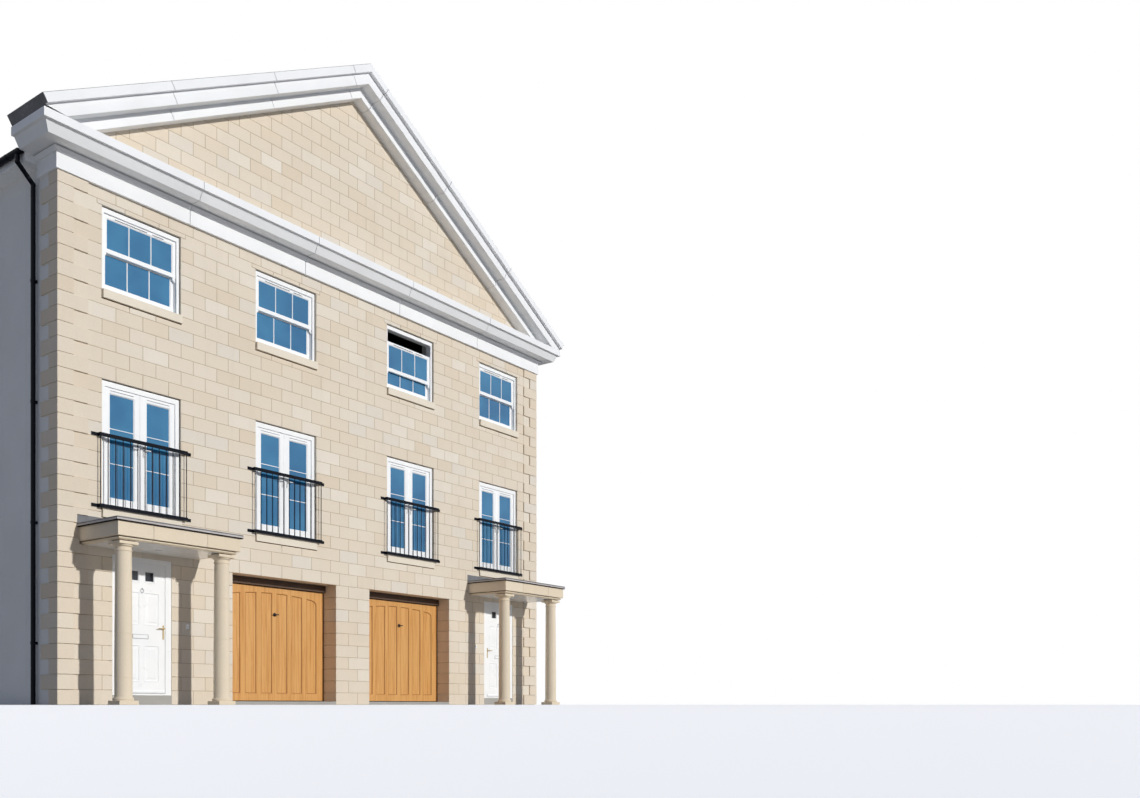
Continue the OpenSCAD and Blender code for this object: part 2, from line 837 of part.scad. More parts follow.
module porch_canopies() {
    color(stone) at_porches() difference() {
        intersection() {
            // The face across the front
            translate([-porch_w / 2 - 1, 0, canopy_z]) rotate([90, 0, 90]) linear_extrude(porch_w + 2)
                polygon(concat([[0, canopy_h], [0, 0]], [for (p = canopy_outline) [p[0] - porch_p, p[1]]]));
            // The faces on both sides
            translate([0, 0, canopy_z]) upright(-porch_p - 1, 0, concat(
                [for (p = canopy_outline) [porch_w / 2 - p[0], p[1]]],
                [for (i = [len(canopy_outline) - 1:-1:0]) [canopy_outline[i][0] - porch_w / 2, canopy_outline[i][1]]]));
        }
        block(-soffit_x, soffit_x, soffit_y, 1, canopy_z - 1, canopy_z + soffit_t);
    }
}

module porch_soffits() {
    color(white) at_porches() difference() {
        block(-soffit_x, soffit_x, soffit_y, 0, canopy_z, canopy_z + soffit_t);
        translate([0, -porch_p + soffit_light_in, canopy_z - 1]) cylinder(h = soffit_t + 2, d = soffit_light_dia, $fn = 48);
    }
}

flashing_h = 130;

module porch_lead_roofs() {
    z0 = canopy_z + canopy_h;
    color(lead_grey) at_porches() {
        block(-porch_w / 2 - lead_edge_p, porch_w / 2 + lead_edge_p, -porch_p - lead_edge_p, 0, z0, z0 + lead_edge_h);
        block(-porch_w / 2 - lead_edge_p, porch_w / 2 + lead_edge_p, -lead_t, 0, z0, z0 + lead_edge_h + flashing_h);
    }
}

// Front doors: drawn for the left-hand house, hinged on the left, with the wall face at y = 0

door_leaf_w = door_w - 2 * door_frame_w - 2 * door_gap;
door_leaf_z = ground_floor_z + door_sill_h + door_gap;
door_leaf_top = door_head_z - door_frame_head - door_gap;
door_leaf_y = door_recess + door_lip_t + door_gap;
door_inner_y = door_leaf_y + door_t;
door_lap = 8;
hinge_r = 6;
hinge_axis_x = -door_leaf_w / 2 - door_gap / 2;
hinge_axis_y = door_inner_y + hinge_r + 0.2;
hinge_h = 90;
hinge_heights = [door_leaf_z + 200, (door_leaf_z + door_leaf_top) / 2, door_leaf_top - 290];
light_w = 157;
light_z = 1940;
light_x = 55;

module door_frame() {
    difference() {
        block(-door_w / 2, door_w / 2, door_recess, door_inner_y, ground_floor_z, door_head_z);
        block(-door_leaf_w / 2 - door_gap, door_leaf_w / 2 + door_gap, door_recess + door_lip_t, door_inner_y + 1,
              door_leaf_z - door_gap, door_leaf_top + door_gap);
        block(-door_leaf_w / 2 + door_lap, door_leaf_w / 2 - door_lap, door_recess - 1, door_inner_y,
              door_leaf_z - door_gap, door_leaf_top - door_lap);
    }
    // Fixed halves of the hinges
    for (z = hinge_heights) {
        translate([hinge_axis_x, hinge_axis_y, z]) {
            cylinder(h = hinge_h / 3 - eps, r = hinge_r, $fn = 32);
            translate([0, 0, 2 * hinge_h / 3 + eps]) cylinder(h = hinge_h / 3 - eps, r = hinge_r, $fn = 32);
        }
        for (dz = [0, 2 * hinge_h / 3 + eps])
            block(hinge_axis_x - 32, hinge_axis_x - door_gap / 2, door_inner_y, door_inner_y + 5,
                  z + dz, z + dz + hinge_h / 3 - eps);
    }
}

panel_recess = 6;
door_stile = 110;
door_muntin = 70;
lock_rail_z = 940;
lock_rail_h = 310;
top_rail_z = 1770;
kick_rail_h = 180;

// A pair of sunk panels in the outer face of the leaf
module door_panels(z0, z1) {
    left_and_right()
        block(door_muntin / 2, door_leaf_w / 2 - door_stile, door_leaf_y - 1, door_leaf_y + panel_recess, z0, z1);
}

module door_leaf() {
    difference() {
        block(-door_leaf_w / 2, door_leaf_w / 2, door_leaf_y, door_inner_y, door_leaf_z, door_leaf_top);
        left_and_right() block(light_x, light_x + light_w, door_leaf_y - 1, door_inner_y + 1, light_z, light_z + light_w);
        door_panels(lock_rail_z + lock_rail_h, top_rail_z);
        door_panels(door_leaf_z + kick_rail_h, lock_rail_z);
    }
    // Moving halves of the hinges
    for (z = hinge_heights) {
        translate([hinge_axis_x, hinge_axis_y, z + hinge_h / 3])
            cylinder(h = hinge_h / 3, r = hinge_r, $fn = 32);
        block(hinge_axis_x + door_gap / 2, hinge_axis_x + 32, door_inner_y, door_inner_y + 5,
              z + hinge_h / 3, z + 2 * hinge_h / 3);
    }
}

module door_lights() {
    y = (door_leaf_y + door_inner_y) / 2;
    left_and_right() block(light_x, light_x + light_w, y - 10, y + 10, light_z, light_z + light_w);
}

handle_x = 370;
handle_z = 1215;
letter_plate_z = lock_rail_z + 95;
letter_plate_h = 70;
letter_plate_w = 270;
letter_plate_x = -25;
fitting_t = 8;

module door_fittings() {
    // Backplate, neck and lever
    block(handle_x - 18, handle_x + 18, door_leaf_y - fitting_t, door_leaf_y, handle_z - 170, handle_z + 50);
    translate([handle_x, door_leaf_y - 50, handle_z]) rotate([-90, 0, 0]) cylinder(h = 50, r = 9, $fn = 32);
    translate([handle_x, door_leaf_y - 45, handle_z]) rotate([0, -90, 0]) cylinder(h = 120, r = 8, $fn = 32);
    // Letter plate
    block(letter_plate_x - letter_plate_w / 2, letter_plate_x + letter_plate_w / 2,
          door_leaf_y - fitting_t, door_leaf_y, letter_plate_z, letter_plate_z + letter_plate_h);
}

module door_frames() {
    color(white) at_front() for (side = [0, 1]) mirror([side, 0, 0]) translate([-outer_bay_x, 0, 0]) door_frame();
}

module left_door() {
    at_front() translate([-outer_bay_x, 0, 0]) children();
}

module right_door() {
    mirror([1, 0, 0]) left_door() children();
}

module front_door_left() {
    color(white) left_door() door_leaf();
}

module front_door_right() {
    color(white) right_door() door_leaf();
}

module front_door_glass_left() {
    color("steelblue") left_door() door_lights();
}

module front_door_glass_right() {
    color("steelblue") right_door() door_lights();
}

module front_door_fittings_left() {
    color("goldenrod") left_door() door_fittings();
}

module front_door_fittings_right() {
    color("goldenrod") right_door() door_fittings();
}

// Garage doors: drawn on the middle of the opening, with the wall face at y = 0

head_board_y = wall_t - 50;
head_board_t = 40;
leaf_head_gap = 10;
garage_leaf_top = garage_leaf_z + garage_leaf_h;
post_top_z = 2330;

module garage_frame() {
    x0 = track_x + track_in + track_wall;
    block(-garage_w / 2, garage_w / 2, head_board_y, head_board_y + head_board_t, garage_leaf_top + leaf_head_gap, garage_head_z);
    left_and_right() block(x0, x0 + post_w, wall_t, wall_t + post_d, garage_floor_z, post_top_z);
    block(-x0 + eps, x0 - eps, wall_t, wall_t + post_d, garage_head_z + 10, post_top_z);
}

module garage_frames() {
    color("saddlebrown") at_front() for (x = garage_bays) translate([x, 0, 0]) garage_frame();
}

track_z0 = runner_z - 60;
lift_clearance = 12.5;
garage_lift = garage_leaf_top + leaf_head_gap - lift_clearance - garage_leaf_t / 2 - runner_z;
track_z1 = runner_z + garage_lift + 60;

module garage_track() {
    x1 = track_x + track_in;
    channel = 2 * runner_r + 1;
    difference() {
        block(track_x, x1 + track_wall, runner_y - channel / 2 - track_wall, runner_y + channel / 2 + track_wall, track_z0, track_z1);
        block(track_x - 1, x1, runner_y - channel / 2, runner_y + channel / 2, track_z0 - 1, track_z1 + 1);
    }
}

module garage_tracks() {
    color("silver") at_front() for (x = garage_bays) translate([x, 0, 0]) left_and_right() garage_track();
}

runner_pin_r = 8;
runner_bite = 25;

module runners() {
    left_and_right() {
        translate([track_x + 2, runner_y, runner_z]) rotate([0, 90, 0]) cylinder(h = track_in - 4, r = runner_r, $fn = 48);
        translate([garage_leaf_w / 2 - runner_bite, runner_y, runner_z]) rotate([0, 90, 0])
            cylinder(h = track_x + 3 - garage_leaf_w / 2 + runner_bite, r = runner_pin_r, $fn = 48);
    }
}

panel_top_z = garage_leaf_top - 90;
panel_foot_z = garage_leaf_z + 120;
panel_arch = 75;
panel_reach = 2.5 * panel_pitch + panel_w / 2;

// Height of the arched head of the sunk panels at a distance from the middle
function panel_head(x) = panel_top_z - panel_arch * (x / panel_reach) * (x / panel_reach);

module garage_panel(i) {
    x0 = (i - 0.5) * panel_pitch - panel_w / 2;
    x1 = x0 + panel_w;
    last = i == 3;
    shoulder = last ? 85 : 0;
    head = [for (t = [0:0.25:1]) let (x = x0 + (x1 - shoulder - x0) * t) [x, panel_head(x)]];
    corner = last ? [for (a = [75:-15:0]) [x1 - shoulder + shoulder * cos(a), panel_head(x1) - shoulder + shoulder * sin(a)]] : [];
    upright(garage_plane_y - 1, garage_plane_y + panel_depth, concat([[x1, panel_foot_z], [x0, panel_foot_z]], head, corner));
}

module garage_leaf() {
    difference() {
        block(-garage_leaf_w / 2, garage_leaf_w / 2, garage_plane_y, garage_plane_y + garage_leaf_t, garage_leaf_z, garage_leaf_top);
        left_and_right() {
            for (i = [1:3]) garage_panel(i);
            translate([garage_leaf_w / 2 - runner_bite - 1, runner_y, runner_z]) rotate([0, 90, 0])
                cylinder(h = runner_bite + 2, r = runner_pin_r + eps, $fn = 48);
        }
    }
}

garage_handle_z = 1630;

module garage_handle() {
    translate([0, garage_plane_y, garage_handle_z]) {
        rotate([90, 0, 0]) cylinder(h = 12, r = 32, $fn = 48);
        rotate([90, 0, 0]) cylinder(h = 50, r = 9, $fn = 32);
        translate([-60, -50, 0]) rotate([0, 90, 0]) cylinder(h = 120, r = 10, $fn = 32);
    }
}

module left_garage() {
    at_front() translate([-inner_bay_x, 0, 0]) children();
}

module right_garage() {
    at_front() translate([inner_bay_x, 0, 0]) children();
}

module garage_runners_left() {
    color("silver") left_garage() runners();
}

module garage_runners_right() {
    color("silver") right_garage() runners();
}

module garage_door_left() {
    color(oak) left_garage() garage_leaf();
}

module garage_door_right() {
    color(oak) right_garage() garage_leaf();
}

module garage_handle_left() {
    color(black) left_garage() garage_handle();
}

module garage_handle_right() {
    color(black) right_garage() garage_handle();
}

ground_floor_slab();
garage_slabs();
upper_floors();
front_piers();
front_bands();
pediment_wall();
corner_stones();
stone_returns();
side_walls();
rear_piers();
rear_bands();
cornice();
raking_cornice();
lead_capping();
roof_slope_left();
roof_slope_right();
ridge_tiles();
eaves_boards();
gutters();
downpipes();
window_frames();
window_sashes();
french_doors();
window_glass();
window_sills();
balconies();
porch_columns();
porch_canopies();
porch_soffits();
porch_lead_roofs();
door_frames();
front_door_left();
front_door_right();
front_door_glass_left();
front_door_glass_right();
front_door_fittings_left();
front_door_fittings_right();
garage_frames();
garage_tracks();
garage_runners_left();
garage_runners_right();
garage_door_left();
garage_door_right();
garage_handle_left();
garage_handle_right();
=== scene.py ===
# Looks of the pair of three-storey town houses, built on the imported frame
import math
import random

import bmesh
import bpy
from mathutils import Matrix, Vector


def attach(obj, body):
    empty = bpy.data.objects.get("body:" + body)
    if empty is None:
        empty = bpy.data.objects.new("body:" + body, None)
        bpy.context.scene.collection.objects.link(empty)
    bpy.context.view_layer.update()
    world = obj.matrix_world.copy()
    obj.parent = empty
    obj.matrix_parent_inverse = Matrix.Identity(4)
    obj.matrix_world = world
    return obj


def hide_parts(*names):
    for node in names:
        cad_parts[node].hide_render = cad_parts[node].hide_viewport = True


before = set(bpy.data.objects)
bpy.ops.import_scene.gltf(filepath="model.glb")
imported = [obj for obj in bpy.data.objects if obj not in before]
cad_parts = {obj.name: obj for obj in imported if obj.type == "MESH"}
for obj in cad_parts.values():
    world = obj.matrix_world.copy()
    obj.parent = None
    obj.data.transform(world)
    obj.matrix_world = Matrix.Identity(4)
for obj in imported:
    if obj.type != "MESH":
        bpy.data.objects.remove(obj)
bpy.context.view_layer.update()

chance = random.Random(7)

# Sizes from the CAD model, in metres
HALF_W = 5.7375
FRONT_Y = -4.725
REAR_Y = 4.725
WALL_T = 0.34
COURSE = 0.225
OUTER_BAY = 4.3875
INNER_BAY = 1.575
DOOR_BAYS = (-OUTER_BAY, OUTER_BAY)
GARAGE_BAYS = (-INNER_BAY, INNER_BAY)
BAYS = (-OUTER_BAY, -INNER_BAY, INNER_BAY, OUTER_BAY)
WINDOW_W = 1.35
DOOR_W = 1.012
GARAGE_W = 2.3
GARAGE_HEAD_Z = 2.25
DOOR_HEAD_Z = 2.3
GROUND_FLOOR_Z = 0.15
FRENCH_BASE_Z = 2.85
FRENCH_SILL_H = 0.155
FIRST_HEAD_Z = 4.95
SASH_BASE_Z = 6.175
SASH_HEAD_Z = 7.58
SILL_H = 0.13
REAR_WINDOW_H = 1.28
ARCHITRAVE_Z = 7.825
CORNICE_TOP_Z = 8.415
RETURN_D = 0.5
PITCH = math.radians(29.7)
FALL = math.tan(PITCH)
SINE = math.sin(PITCH)
COSINE = math.cos(PITCH)
RAKE_TOP_Z = 12.1
RAKE_H = 0.478
RAKE_OVER = 0.48
SLATE_TOP_Z = 11.6
ROOF_T = 0.16
EAVES_X = HALF_W + 0.2125
EAVES_BOARD_Z = 8.0402
GUTTER_R = 0.056
GUTTER_X = EAVES_X + 0.02 + GUTTER_R
VERGE_Y = REAR_Y + 0.06
ROOF_Y = FRONT_Y + RETURN_D + 0.0083
TYMPANUM_TOP_Z = RAKE_TOP_Z - RAKE_H / COSINE
CANOPY_Z = 2.385
CANOPY_H = 0.255
CANOPY_TOP_Z = CANOPY_Z + CANOPY_H
PORCH_W = 2.08
PORCH_P = 1.045
COLUMN_IN = 0.205
LEAD_OVER = 0.035
FLASHING_TOP_Z = CANOPY_TOP_Z + 0.19
FRAME_Y = 0.045
UPPER_SASH_Y = 0.07
LOWER_SASH_Y = 0.12
OPEN_SASH_DROP = 0.23
FRENCH_LEAF_Y = 0.065
DOOR_LEAF_Y = 0.0285
GARAGE_LEAF_Y = WALL_T + 0.005

# Sizes of the stonework
HALF_JOINT = 0.003
ARRIS = 0.003
BEDDING = 0.024
MORTAR_BACK = 0.004
REVEAL_DEPTH = 0.2
JAMB_CLEAR = 0.12
END_CLEAR = 0.1
THINNEST_W = 0.02
THINNEST_H = 0.012
SMALLEST_AREA = 0.003
LINTEL_H = 0.07
LINTEL_OVER = 0.08

SIDES = {-1: "left", 1: "right"}


# Mesh helpers

class Shell:
    """Faces of one piece, with a tone and a material number for each face."""

    def __init__(self):
        self.points = []
        self.faces = []
        self.tones = []
        self.kinds = []

    def add(self, points, faces, tone=0.5, kind=0):
        start = len(self.points)
        self.points.extend(points)
        self.faces.extend([start + i for i in face] for face in faces)
        self.tones.extend([tone] * len(faces))
        self.kinds.extend(kind if isinstance(kind, list) else [kind] * len(faces))


def add_object(name, data):
    thing = bpy.data.objects.new(name, data)
    bpy.context.scene.collection.objects.link(thing)
    return thing


def make_piece(name, shell, materials, body="houses", replaces=(), smooth=False):
    """Makes one piece of the frame: its mesh, its body and the CAD nodes that it replaces."""
    mesh = bpy.data.meshes.new(name)
    mesh.from_pydata(shell.points, [], shell.faces)
    for material in materials:
        mesh.materials.append(material)
    mesh.polygons.foreach_set("material_index", shell.kinds)
    mesh.attributes.new("tone", "FLOAT", "FACE").data.foreach_set("value", shell.tones)
    work = bmesh.new()
    work.from_mesh(mesh)
    bmesh.ops.recalc_face_normals(work, faces=work.faces)
    work.to_mesh(mesh)
    work.free()
    if smooth:
        mesh.shade_smooth()
        mesh.set_sharp_from_angle(angle=math.radians(38))
    piece = add_object(name, mesh)
    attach(piece, body)
    if replaces:
        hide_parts(*replaces)


def inset_outline(outline, distance):
    """Moves each side of a counter-clockwise outline inward."""
    if not distance:
        return list(outline)
    result = []
    for i, here in enumerate(outline):
        normals = []
        for a, b in ((outline[i - 1], here), (here, outline[(i + 1) % len(outline)])):
            length = math.hypot(b[0] - a[0], b[1] - a[1])
            normals.append(((a[1] - b[1]) / length, (b[0] - a[0]) / length))
        (p, q), (r, s) = normals
        k = distance / (1 + p * r + q * s)
        result.append((here[0] + k * (p + r), here[1] + k * (q + s)))
    return result


def loft(shell, rings, tone=0.5, kind=0, closed=False):
    """Joins rings of points that have the same count, with caps unless the last ring joins the first."""
    count = len(rings[0])
    total = count * len(rings)
    faces = []
    for low in range(0, total if closed else total - count, count):
        high = (low + count) % total
        for i in range(count):
            j = (i + 1) % count
            faces.append([low + i, low + j, high + j, high + i])
    if not closed:
        faces.append(list(range(count))[::-1])
        faces.append(list(range(total - count, total)))
    shell.add([p for ring in rings for p in ring], faces, tone, kind)


def prism(shell, outline, rings, place, tone=0.5, kind=0, closed=False):
    """Stacks an outline at given depths, each with its own inset."""
    loft(shell, [[place(a, b, depth) for a, b in inset_outline(outline, inset)] for inset, depth in rings],
         tone, kind, closed)


def rectangle(x0, x1, z0, z1):
    return [(x0, z0), (x1, z0), (x1, z1), (x0, z1)]


def arc(x, z, radius_x, radius_z, start, end, steps):
    """Points of a round or oval stretch between two angles in degrees."""
    angles = [math.radians(start + (end - start) * n / steps) for n in range(steps + 1)]
    return [(x + radius_x * math.cos(a), z + radius_z * math.sin(a)) for a in angles]


def along_x(y, z, x):
    return (x, y, z)


def along_y(x, z, y):
    return (x, y, z)


def along_z(x, y, z):
    return (x, y, z)


def front(x, z, depth):
    return (x, FRONT_Y + depth, z)


def rear(x, z, depth):
    return (x, REAR_Y - depth, z)


def deeper(place, by):
    """The same placing, set further back."""
    return lambda x, z, depth: place(x, z, depth + by)


def box(shell, low, high, arris=0.002, tone=0.5, kind=0, axis=2):
    """A block with its arrises taken off at both ends of one axis."""
    i, j = [n for n in range(3) if n != axis]
    outline = rectangle(low[i], high[i], low[j], high[j])
    a, b = low[axis], high[axis]
    prism(shell, outline, [(arris, a), (0, a + arris), (0, b - arris), (arris, b)],
          (along_x, along_y, along_z)[axis], tone, kind)


def box_on(shell, x0, x1, z0, z1, face, place):
    """A thin strip lying on a face."""
    prism(shell, rectangle(x0, x1, z0, z1), [(0, face), (0, face + 0.004)], place)


def level_run(shell, ends, z, profile, place):
    """Runs a profile of height and depth level between two ends."""
    loft(shell, [[place(x, z + up, depth) for up, depth in profile] for x in ends])


def turned(x, y, profile, sides):
    """Level rings of a turned form, from pairs of radius and height."""
    angles = [2 * math.pi * n / sides for n in range(sides)]
    return [[(x + r * math.cos(a), y + r * math.sin(a), z) for a in angles] for r, z in profile]


def rod(shell, start, end, profile, sides=16):
    """A round bar. profile is a radius, or pairs of share of the length and radius."""
    if isinstance(profile, float):
        profile = ((0, profile), (1, profile))
    start = Vector(start)
    along = Vector(end) - start
    frame_x = along.orthogonal().normalized()
    frame_y = along.normalized().cross(frame_x)
    angles = [2 * math.pi * n / sides for n in range(sides)]
    loft(shell, [[tuple(start + along * share + frame_x * r * math.cos(a) + frame_y * r * math.sin(a))
                  for a in angles] for share, r in profile])


def peg(shell, x, z, y0, y1, profile, place, sides=16):
    """A round bar that stands out from a face."""
    rod(shell, place(x, z, y0), place(x, z, y1), profile, sides)


def surround(shell, x0, x1, z0, z1, profile, place):
    """Runs a closed profile of inset and depth round a rectangle, with mitres."""
    rings = []
    for sx, sz in ((0, 0), (1, 0), (1, 1), (0, 1)):
        rings.append([place(x1 - inset if sx else x0 + inset, z1 - inset if sz else z0 + inset, depth)
                      for inset, depth in profile])
    loft(shell, rings, closed=True)


def span(middle, hand, near, far):
    """Two stations on one side of a middle, the lower one first."""
    return sorted((middle + hand * near, middle + hand * far))


def stone_ends(ring, outline, tucked, gap, cut):
    """Gives a function for the two rings that ease a stone's end at a joint, on either side of it."""
    return lambda joint, hand: [ring(tucked, joint + hand * gap), ring(outline, joint + hand * (gap + cut))]


def open_cells(xs, zs, holes):
    """The cells of a grid that lie outside all holes."""
    cells = []
    for i in range(len(xs) - 1):
        for j in range(len(zs) - 1):
            mid_x = (xs[i] + xs[i + 1]) / 2
            mid_z = (zs[j] + zs[j + 1]) / 2
            if not any(h[0] < mid_x < h[1] and h[2] < mid_z < h[3] for h in holes):
                cells.append((i, j))
    return cells


def cut_outlines(x0, x1, z0, z1, holes):
    """Outlines of a rectangle less rectangular holes, all counter-clockwise."""
    digits = 5
    xs = sorted({round(x, digits) for x in [x0, x1] + [x for h in holes for x in h[:2] if x0 < x < x1]})
    zs = sorted({round(z, digits) for z in [z0, z1] + [z for h in holes for z in h[2:4] if z0 < z < z1]})
    edges = set()
    for i, j in open_cells(xs, zs, holes):
        corners = rectangle(xs[i], xs[i + 1], zs[j], zs[j + 1])
        for edge in zip(corners, corners[1:] + corners[:1]):
            if edge[::-1] in edges:
                edges.remove(edge[::-1])
            else:
                edges.add(edge)
    loops = []
    follow = dict(edges)
    while follow:
        loop = []
        here = next(iter(follow))
        while here in follow:
            loop.append(here)
            here = follow.pop(here)
        corners = []
        for a, here, b in zip(loop[-1:] + loop, loop, loop[1:] + loop[:1]):
            if abs((here[0] - a[0]) * (b[1] - here[1]) - (here[1] - a[1]) * (b[0] - here[0])) > 1e-9:
                corners.append(here)
        loops.append(corners)
    return loops


def clip(outline, a, b, c):
    """Keeps the part of an outline where a x + b z is at most c."""
    result = []
    for before, here in zip(outline[-1:] + outline, outline):
        d0 = c - a * before[0] - b * before[1]
        d1 = c - a * here[0] - b * here[1]
        if (d0 < 0) != (d1 < 0):
            t = d0 / (d0 - d1)
            result.append((before[0] + t * (here[0] - before[0]), before[1] + t * (here[1] - before[1])))
        if d1 >= 0:
            result.append(here)
    return result


def area(outline):
    """Area of an outline, positive where it runs counter-clockwise."""
    return sum(a[0] * b[1] - b[0] * a[1] for a, b in zip(outline[-1:] + outline, outline)) / 2


def slab(shell, half_w, top, holes, y0, y1, place, kinds):
    """A wall of grid cells round its holes. kinds are the materials of its front, back and sides."""
    xs = sorted({-half_w, half_w} | {x for h in holes for x in h[:2]})
    zs = sorted({0, top} | {z for h in holes for z in h[2:4] if z > 0})
    cells = open_cells(xs, zs, holes)
    numbers = {}
    points = []

    def corner(i, j, depth):
        if (i, j, depth) not in numbers:
            numbers[i, j, depth] = len(points)
            points.append(place(xs[i], zs[j], depth))
        return numbers[i, j, depth]

    groups = ([], [], [])
    for i, j in cells:
        around = ((i, j), (i + 1, j), (i + 1, j + 1), (i, j + 1))
        groups[0].append([corner(*c, y0) for c in around])
        groups[1].append([corner(*c, y1) for c in around][::-1])
        for n, beside in enumerate(((i, j - 1), (i + 1, j), (i, j + 1), (i - 1, j))):
            if beside not in cells:
                a = around[n]
                b = around[(n + 1) % 4]
                groups[2].append([corner(*a, y0), corner(*a, y1), corner(*b, y1), corner(*b, y0)])
    shell.add(points, sum(groups, []), kind=[kind for kind, group in zip(kinds, groups) for _ in group])


# Materials

def srgb(*colour):
    """Linear colour with alpha from red, green and blue out of 255."""
    channels = [value / 255 for value in colour]
    return (*(v / 12.92 if v <= 0.04045 else ((v + 0.055) / 1.055) ** 2.4 for v in channels), 1)


class Graph:
    """A node tree, with short calls for the few nodes that it needs."""

    def __init__(self, owner):
        owner.use_nodes = True
        self.tree = owner.node_tree
        self.tree.nodes.clear()

    def add(self, kind, *values, **settings):
        """Adds a node with its settings by name and its first inputs in order."""
        node = self.tree.nodes.new(kind)
        for key, value in settings.items():
            setattr(node, key, value)
        for index, value in enumerate(values):
            self.put(node, index, value)
        return node

    def put(self, node, name, value):
        socket = node.inputs[name]
        if isinstance(value, bpy.types.NodeSocket):
            self.tree.links.new(value, socket)
        else:
            socket.default_value = srgb(*value) if socket.type == "RGBA" else value

    def math(self, operation, a, b):
        return self.add("ShaderNodeMath", a, b, operation=operation).outputs[0]

    def level(self, value, low, high, to_low=0.0, to_high=1.0):
        return self.add("ShaderNodeMapRange", value, low, high, to_low, to_high).outputs[0]

    def mix(self, share, a, b, blend="MIX"):
        node = self.add("ShaderNodeMix", share, data_type="RGBA", blend_type=blend)
        self.put(node, 6, a)
        self.put(node, 7, b)
        return node.outputs[2]


class Finish(Graph):
    """One procedural material round its main shader."""

    def __init__(self, name, roughness, **sockets):
        self.material = bpy.data.materials.new(name)
        super().__init__(self.material)
        self.shader = self.add("ShaderNodeBsdfPrincipled")
        self.put(self.shader, "Roughness", roughness)
        for key, value in sockets.items():
            self.put(self.shader, key.replace("_", " "), value)
        self.output = self.add("ShaderNodeOutputMaterial", self.shader.outputs[0])
        self.place = self.add("ShaderNodeTexCoord").outputs["Object"]

    def stretched(self, x, y, z):
        node = self.add("ShaderNodeMapping", self.place)
        self.put(node, "Scale", (x, y, z))
        return node.outputs[0]

    def noise(self, scale, detail=3, roughness=0.55, place=None, distortion=0):
        node = self.add("ShaderNodeTexNoise", place or self.place)
        values = (scale, detail, roughness, distortion)
        for name, value in zip(("Scale", "Detail", "Roughness", "Distortion"), values):
            self.put(node, name, value)
        return node.outputs[0]

    def tone(self):
        return self.add("ShaderNodeAttribute", attribute_name="tone").outputs["Fac"]

    def ramp(self, value, *stops):
        node = self.add("ShaderNodeValToRGB", value)
        elements = node.color_ramp.elements
        while len(elements) < len(stops):
            elements.new(1)
        for element, (position, colour) in zip(elements, stops):
            element.position = position
            element.color = srgb(*colour)
        return node.outputs[0]

    def tint(self, colour, mask, amount, shade):
        return self.mix(self.math("MULTIPLY", mask, amount), colour, shade)

    def times(self, colour, factor):
        return self.mix(1.0, colour, factor, "MULTIPLY")

    def colour(self, value):
        self.put(self.shader, "Base Color", value)

    def rough(self, value, to_low, to_high, low=0.3, high=0.7):
        self.put(self.shader, "Roughness", self.level(value, low, high, to_low, to_high))

    def bump(self, height, distance, strength=1.0):
        node = self.add("ShaderNodeBump", strength, distance)
        self.put(node, "Height", height)
        self.put(self.shader, "Normal", node.outputs[0])


def stone_finish(name, grain, *stops):
    f = Finish(name, 0.85)
    colour = f.ramp(f.tone(), *stops)
    colour = f.tint(colour, f.level(f.noise(1.6, 4), 0.3, 0.7), 0.22, (216, 203, 184))
    colour = f.times(colour, f.level(f.noise(55, 4, 0.7), 0.25, 0.75, 0.94, 1.05))
    streak = f.level(f.noise(1, 4, 0.6, f.stretched(3.2, 3.2, 0.35)), 0.52, 0.8)
    f.colour(f.tint(colour, streak, 0.16, (194, 178, 154)))
    f.rough(f.noise(30, 2), 0.78, 0.92)
    f.bump(f.math("ADD", f.noise(140, 4, 0.7), f.noise(22, 3)), grain)
    return f.material


def plain_finish(name, base, shade, roughness, grain_scale, grain, cloud_scale=1.3, amount=0.4, **sockets):
    f = Finish(name, roughness, **sockets)
    f.colour(f.tint(base, f.level(f.noise(cloud_scale, 4), 0.35, 0.7), amount, shade))
    f.rough(f.noise(grain_scale / 3, 3), roughness - 0.06, roughness + 0.06)
    f.bump(f.noise(grain_scale, 3, 0.6), grain)
    return f.material


def lead_finish():
    f = Finish("weathered_lead", 0.6, Specular_IOR_Level=0.3)
    cloud = f.level(f.noise(2.2, 5, 0.62), 0.3, 0.72)
    colour = f.mix(cloud, (96, 97, 101), (130, 131, 134))
    colour = f.times(colour, f.level(f.tone(), 0, 1, 0.86, 1.12))
    wash = f.level(f.noise(1, 4, 0.6, f.stretched(7, 2, 7)), 0.58, 0.8)
    f.colour(f.tint(colour, wash, 0.4, (170, 170, 170)))
    f.rough(cloud, 0.5, 0.72, 0, 1)
    f.bump(f.noise(9, 3), 0.004)
    return f.material


def slate_finish(name, *stops):
    f = Finish(name, 0.55)
    grain = f.level(f.noise(1, 5, 0.65, f.stretched(26, 60, 26)), 0.3, 0.72, 0.86, 1.1)
    colour = f.times(f.ramp(f.tone(), *stops), grain)
    f.colour(f.tint(colour, f.level(f.noise(11, 4, 0.7), 0.66, 0.8), 0.4, (128, 131, 124)))
    f.rough(f.noise(40, 3), 0.45, 0.65)
    f.bump(f.noise(1, 5, 0.65, f.stretched(30, 90, 30)), 0.0018)
    return f.material


def glass_finish(name, dark, light):
    f = Finish(name, 0.03, IOR=1.5, Transmission_Weight=0.25)
    f.colour(f.mix(f.level(f.noise(1.1, 2), 0.32, 0.68), dark, light))
    f.bump(f.noise(0.9, 1), 0.004, 0.4)
    return f.material


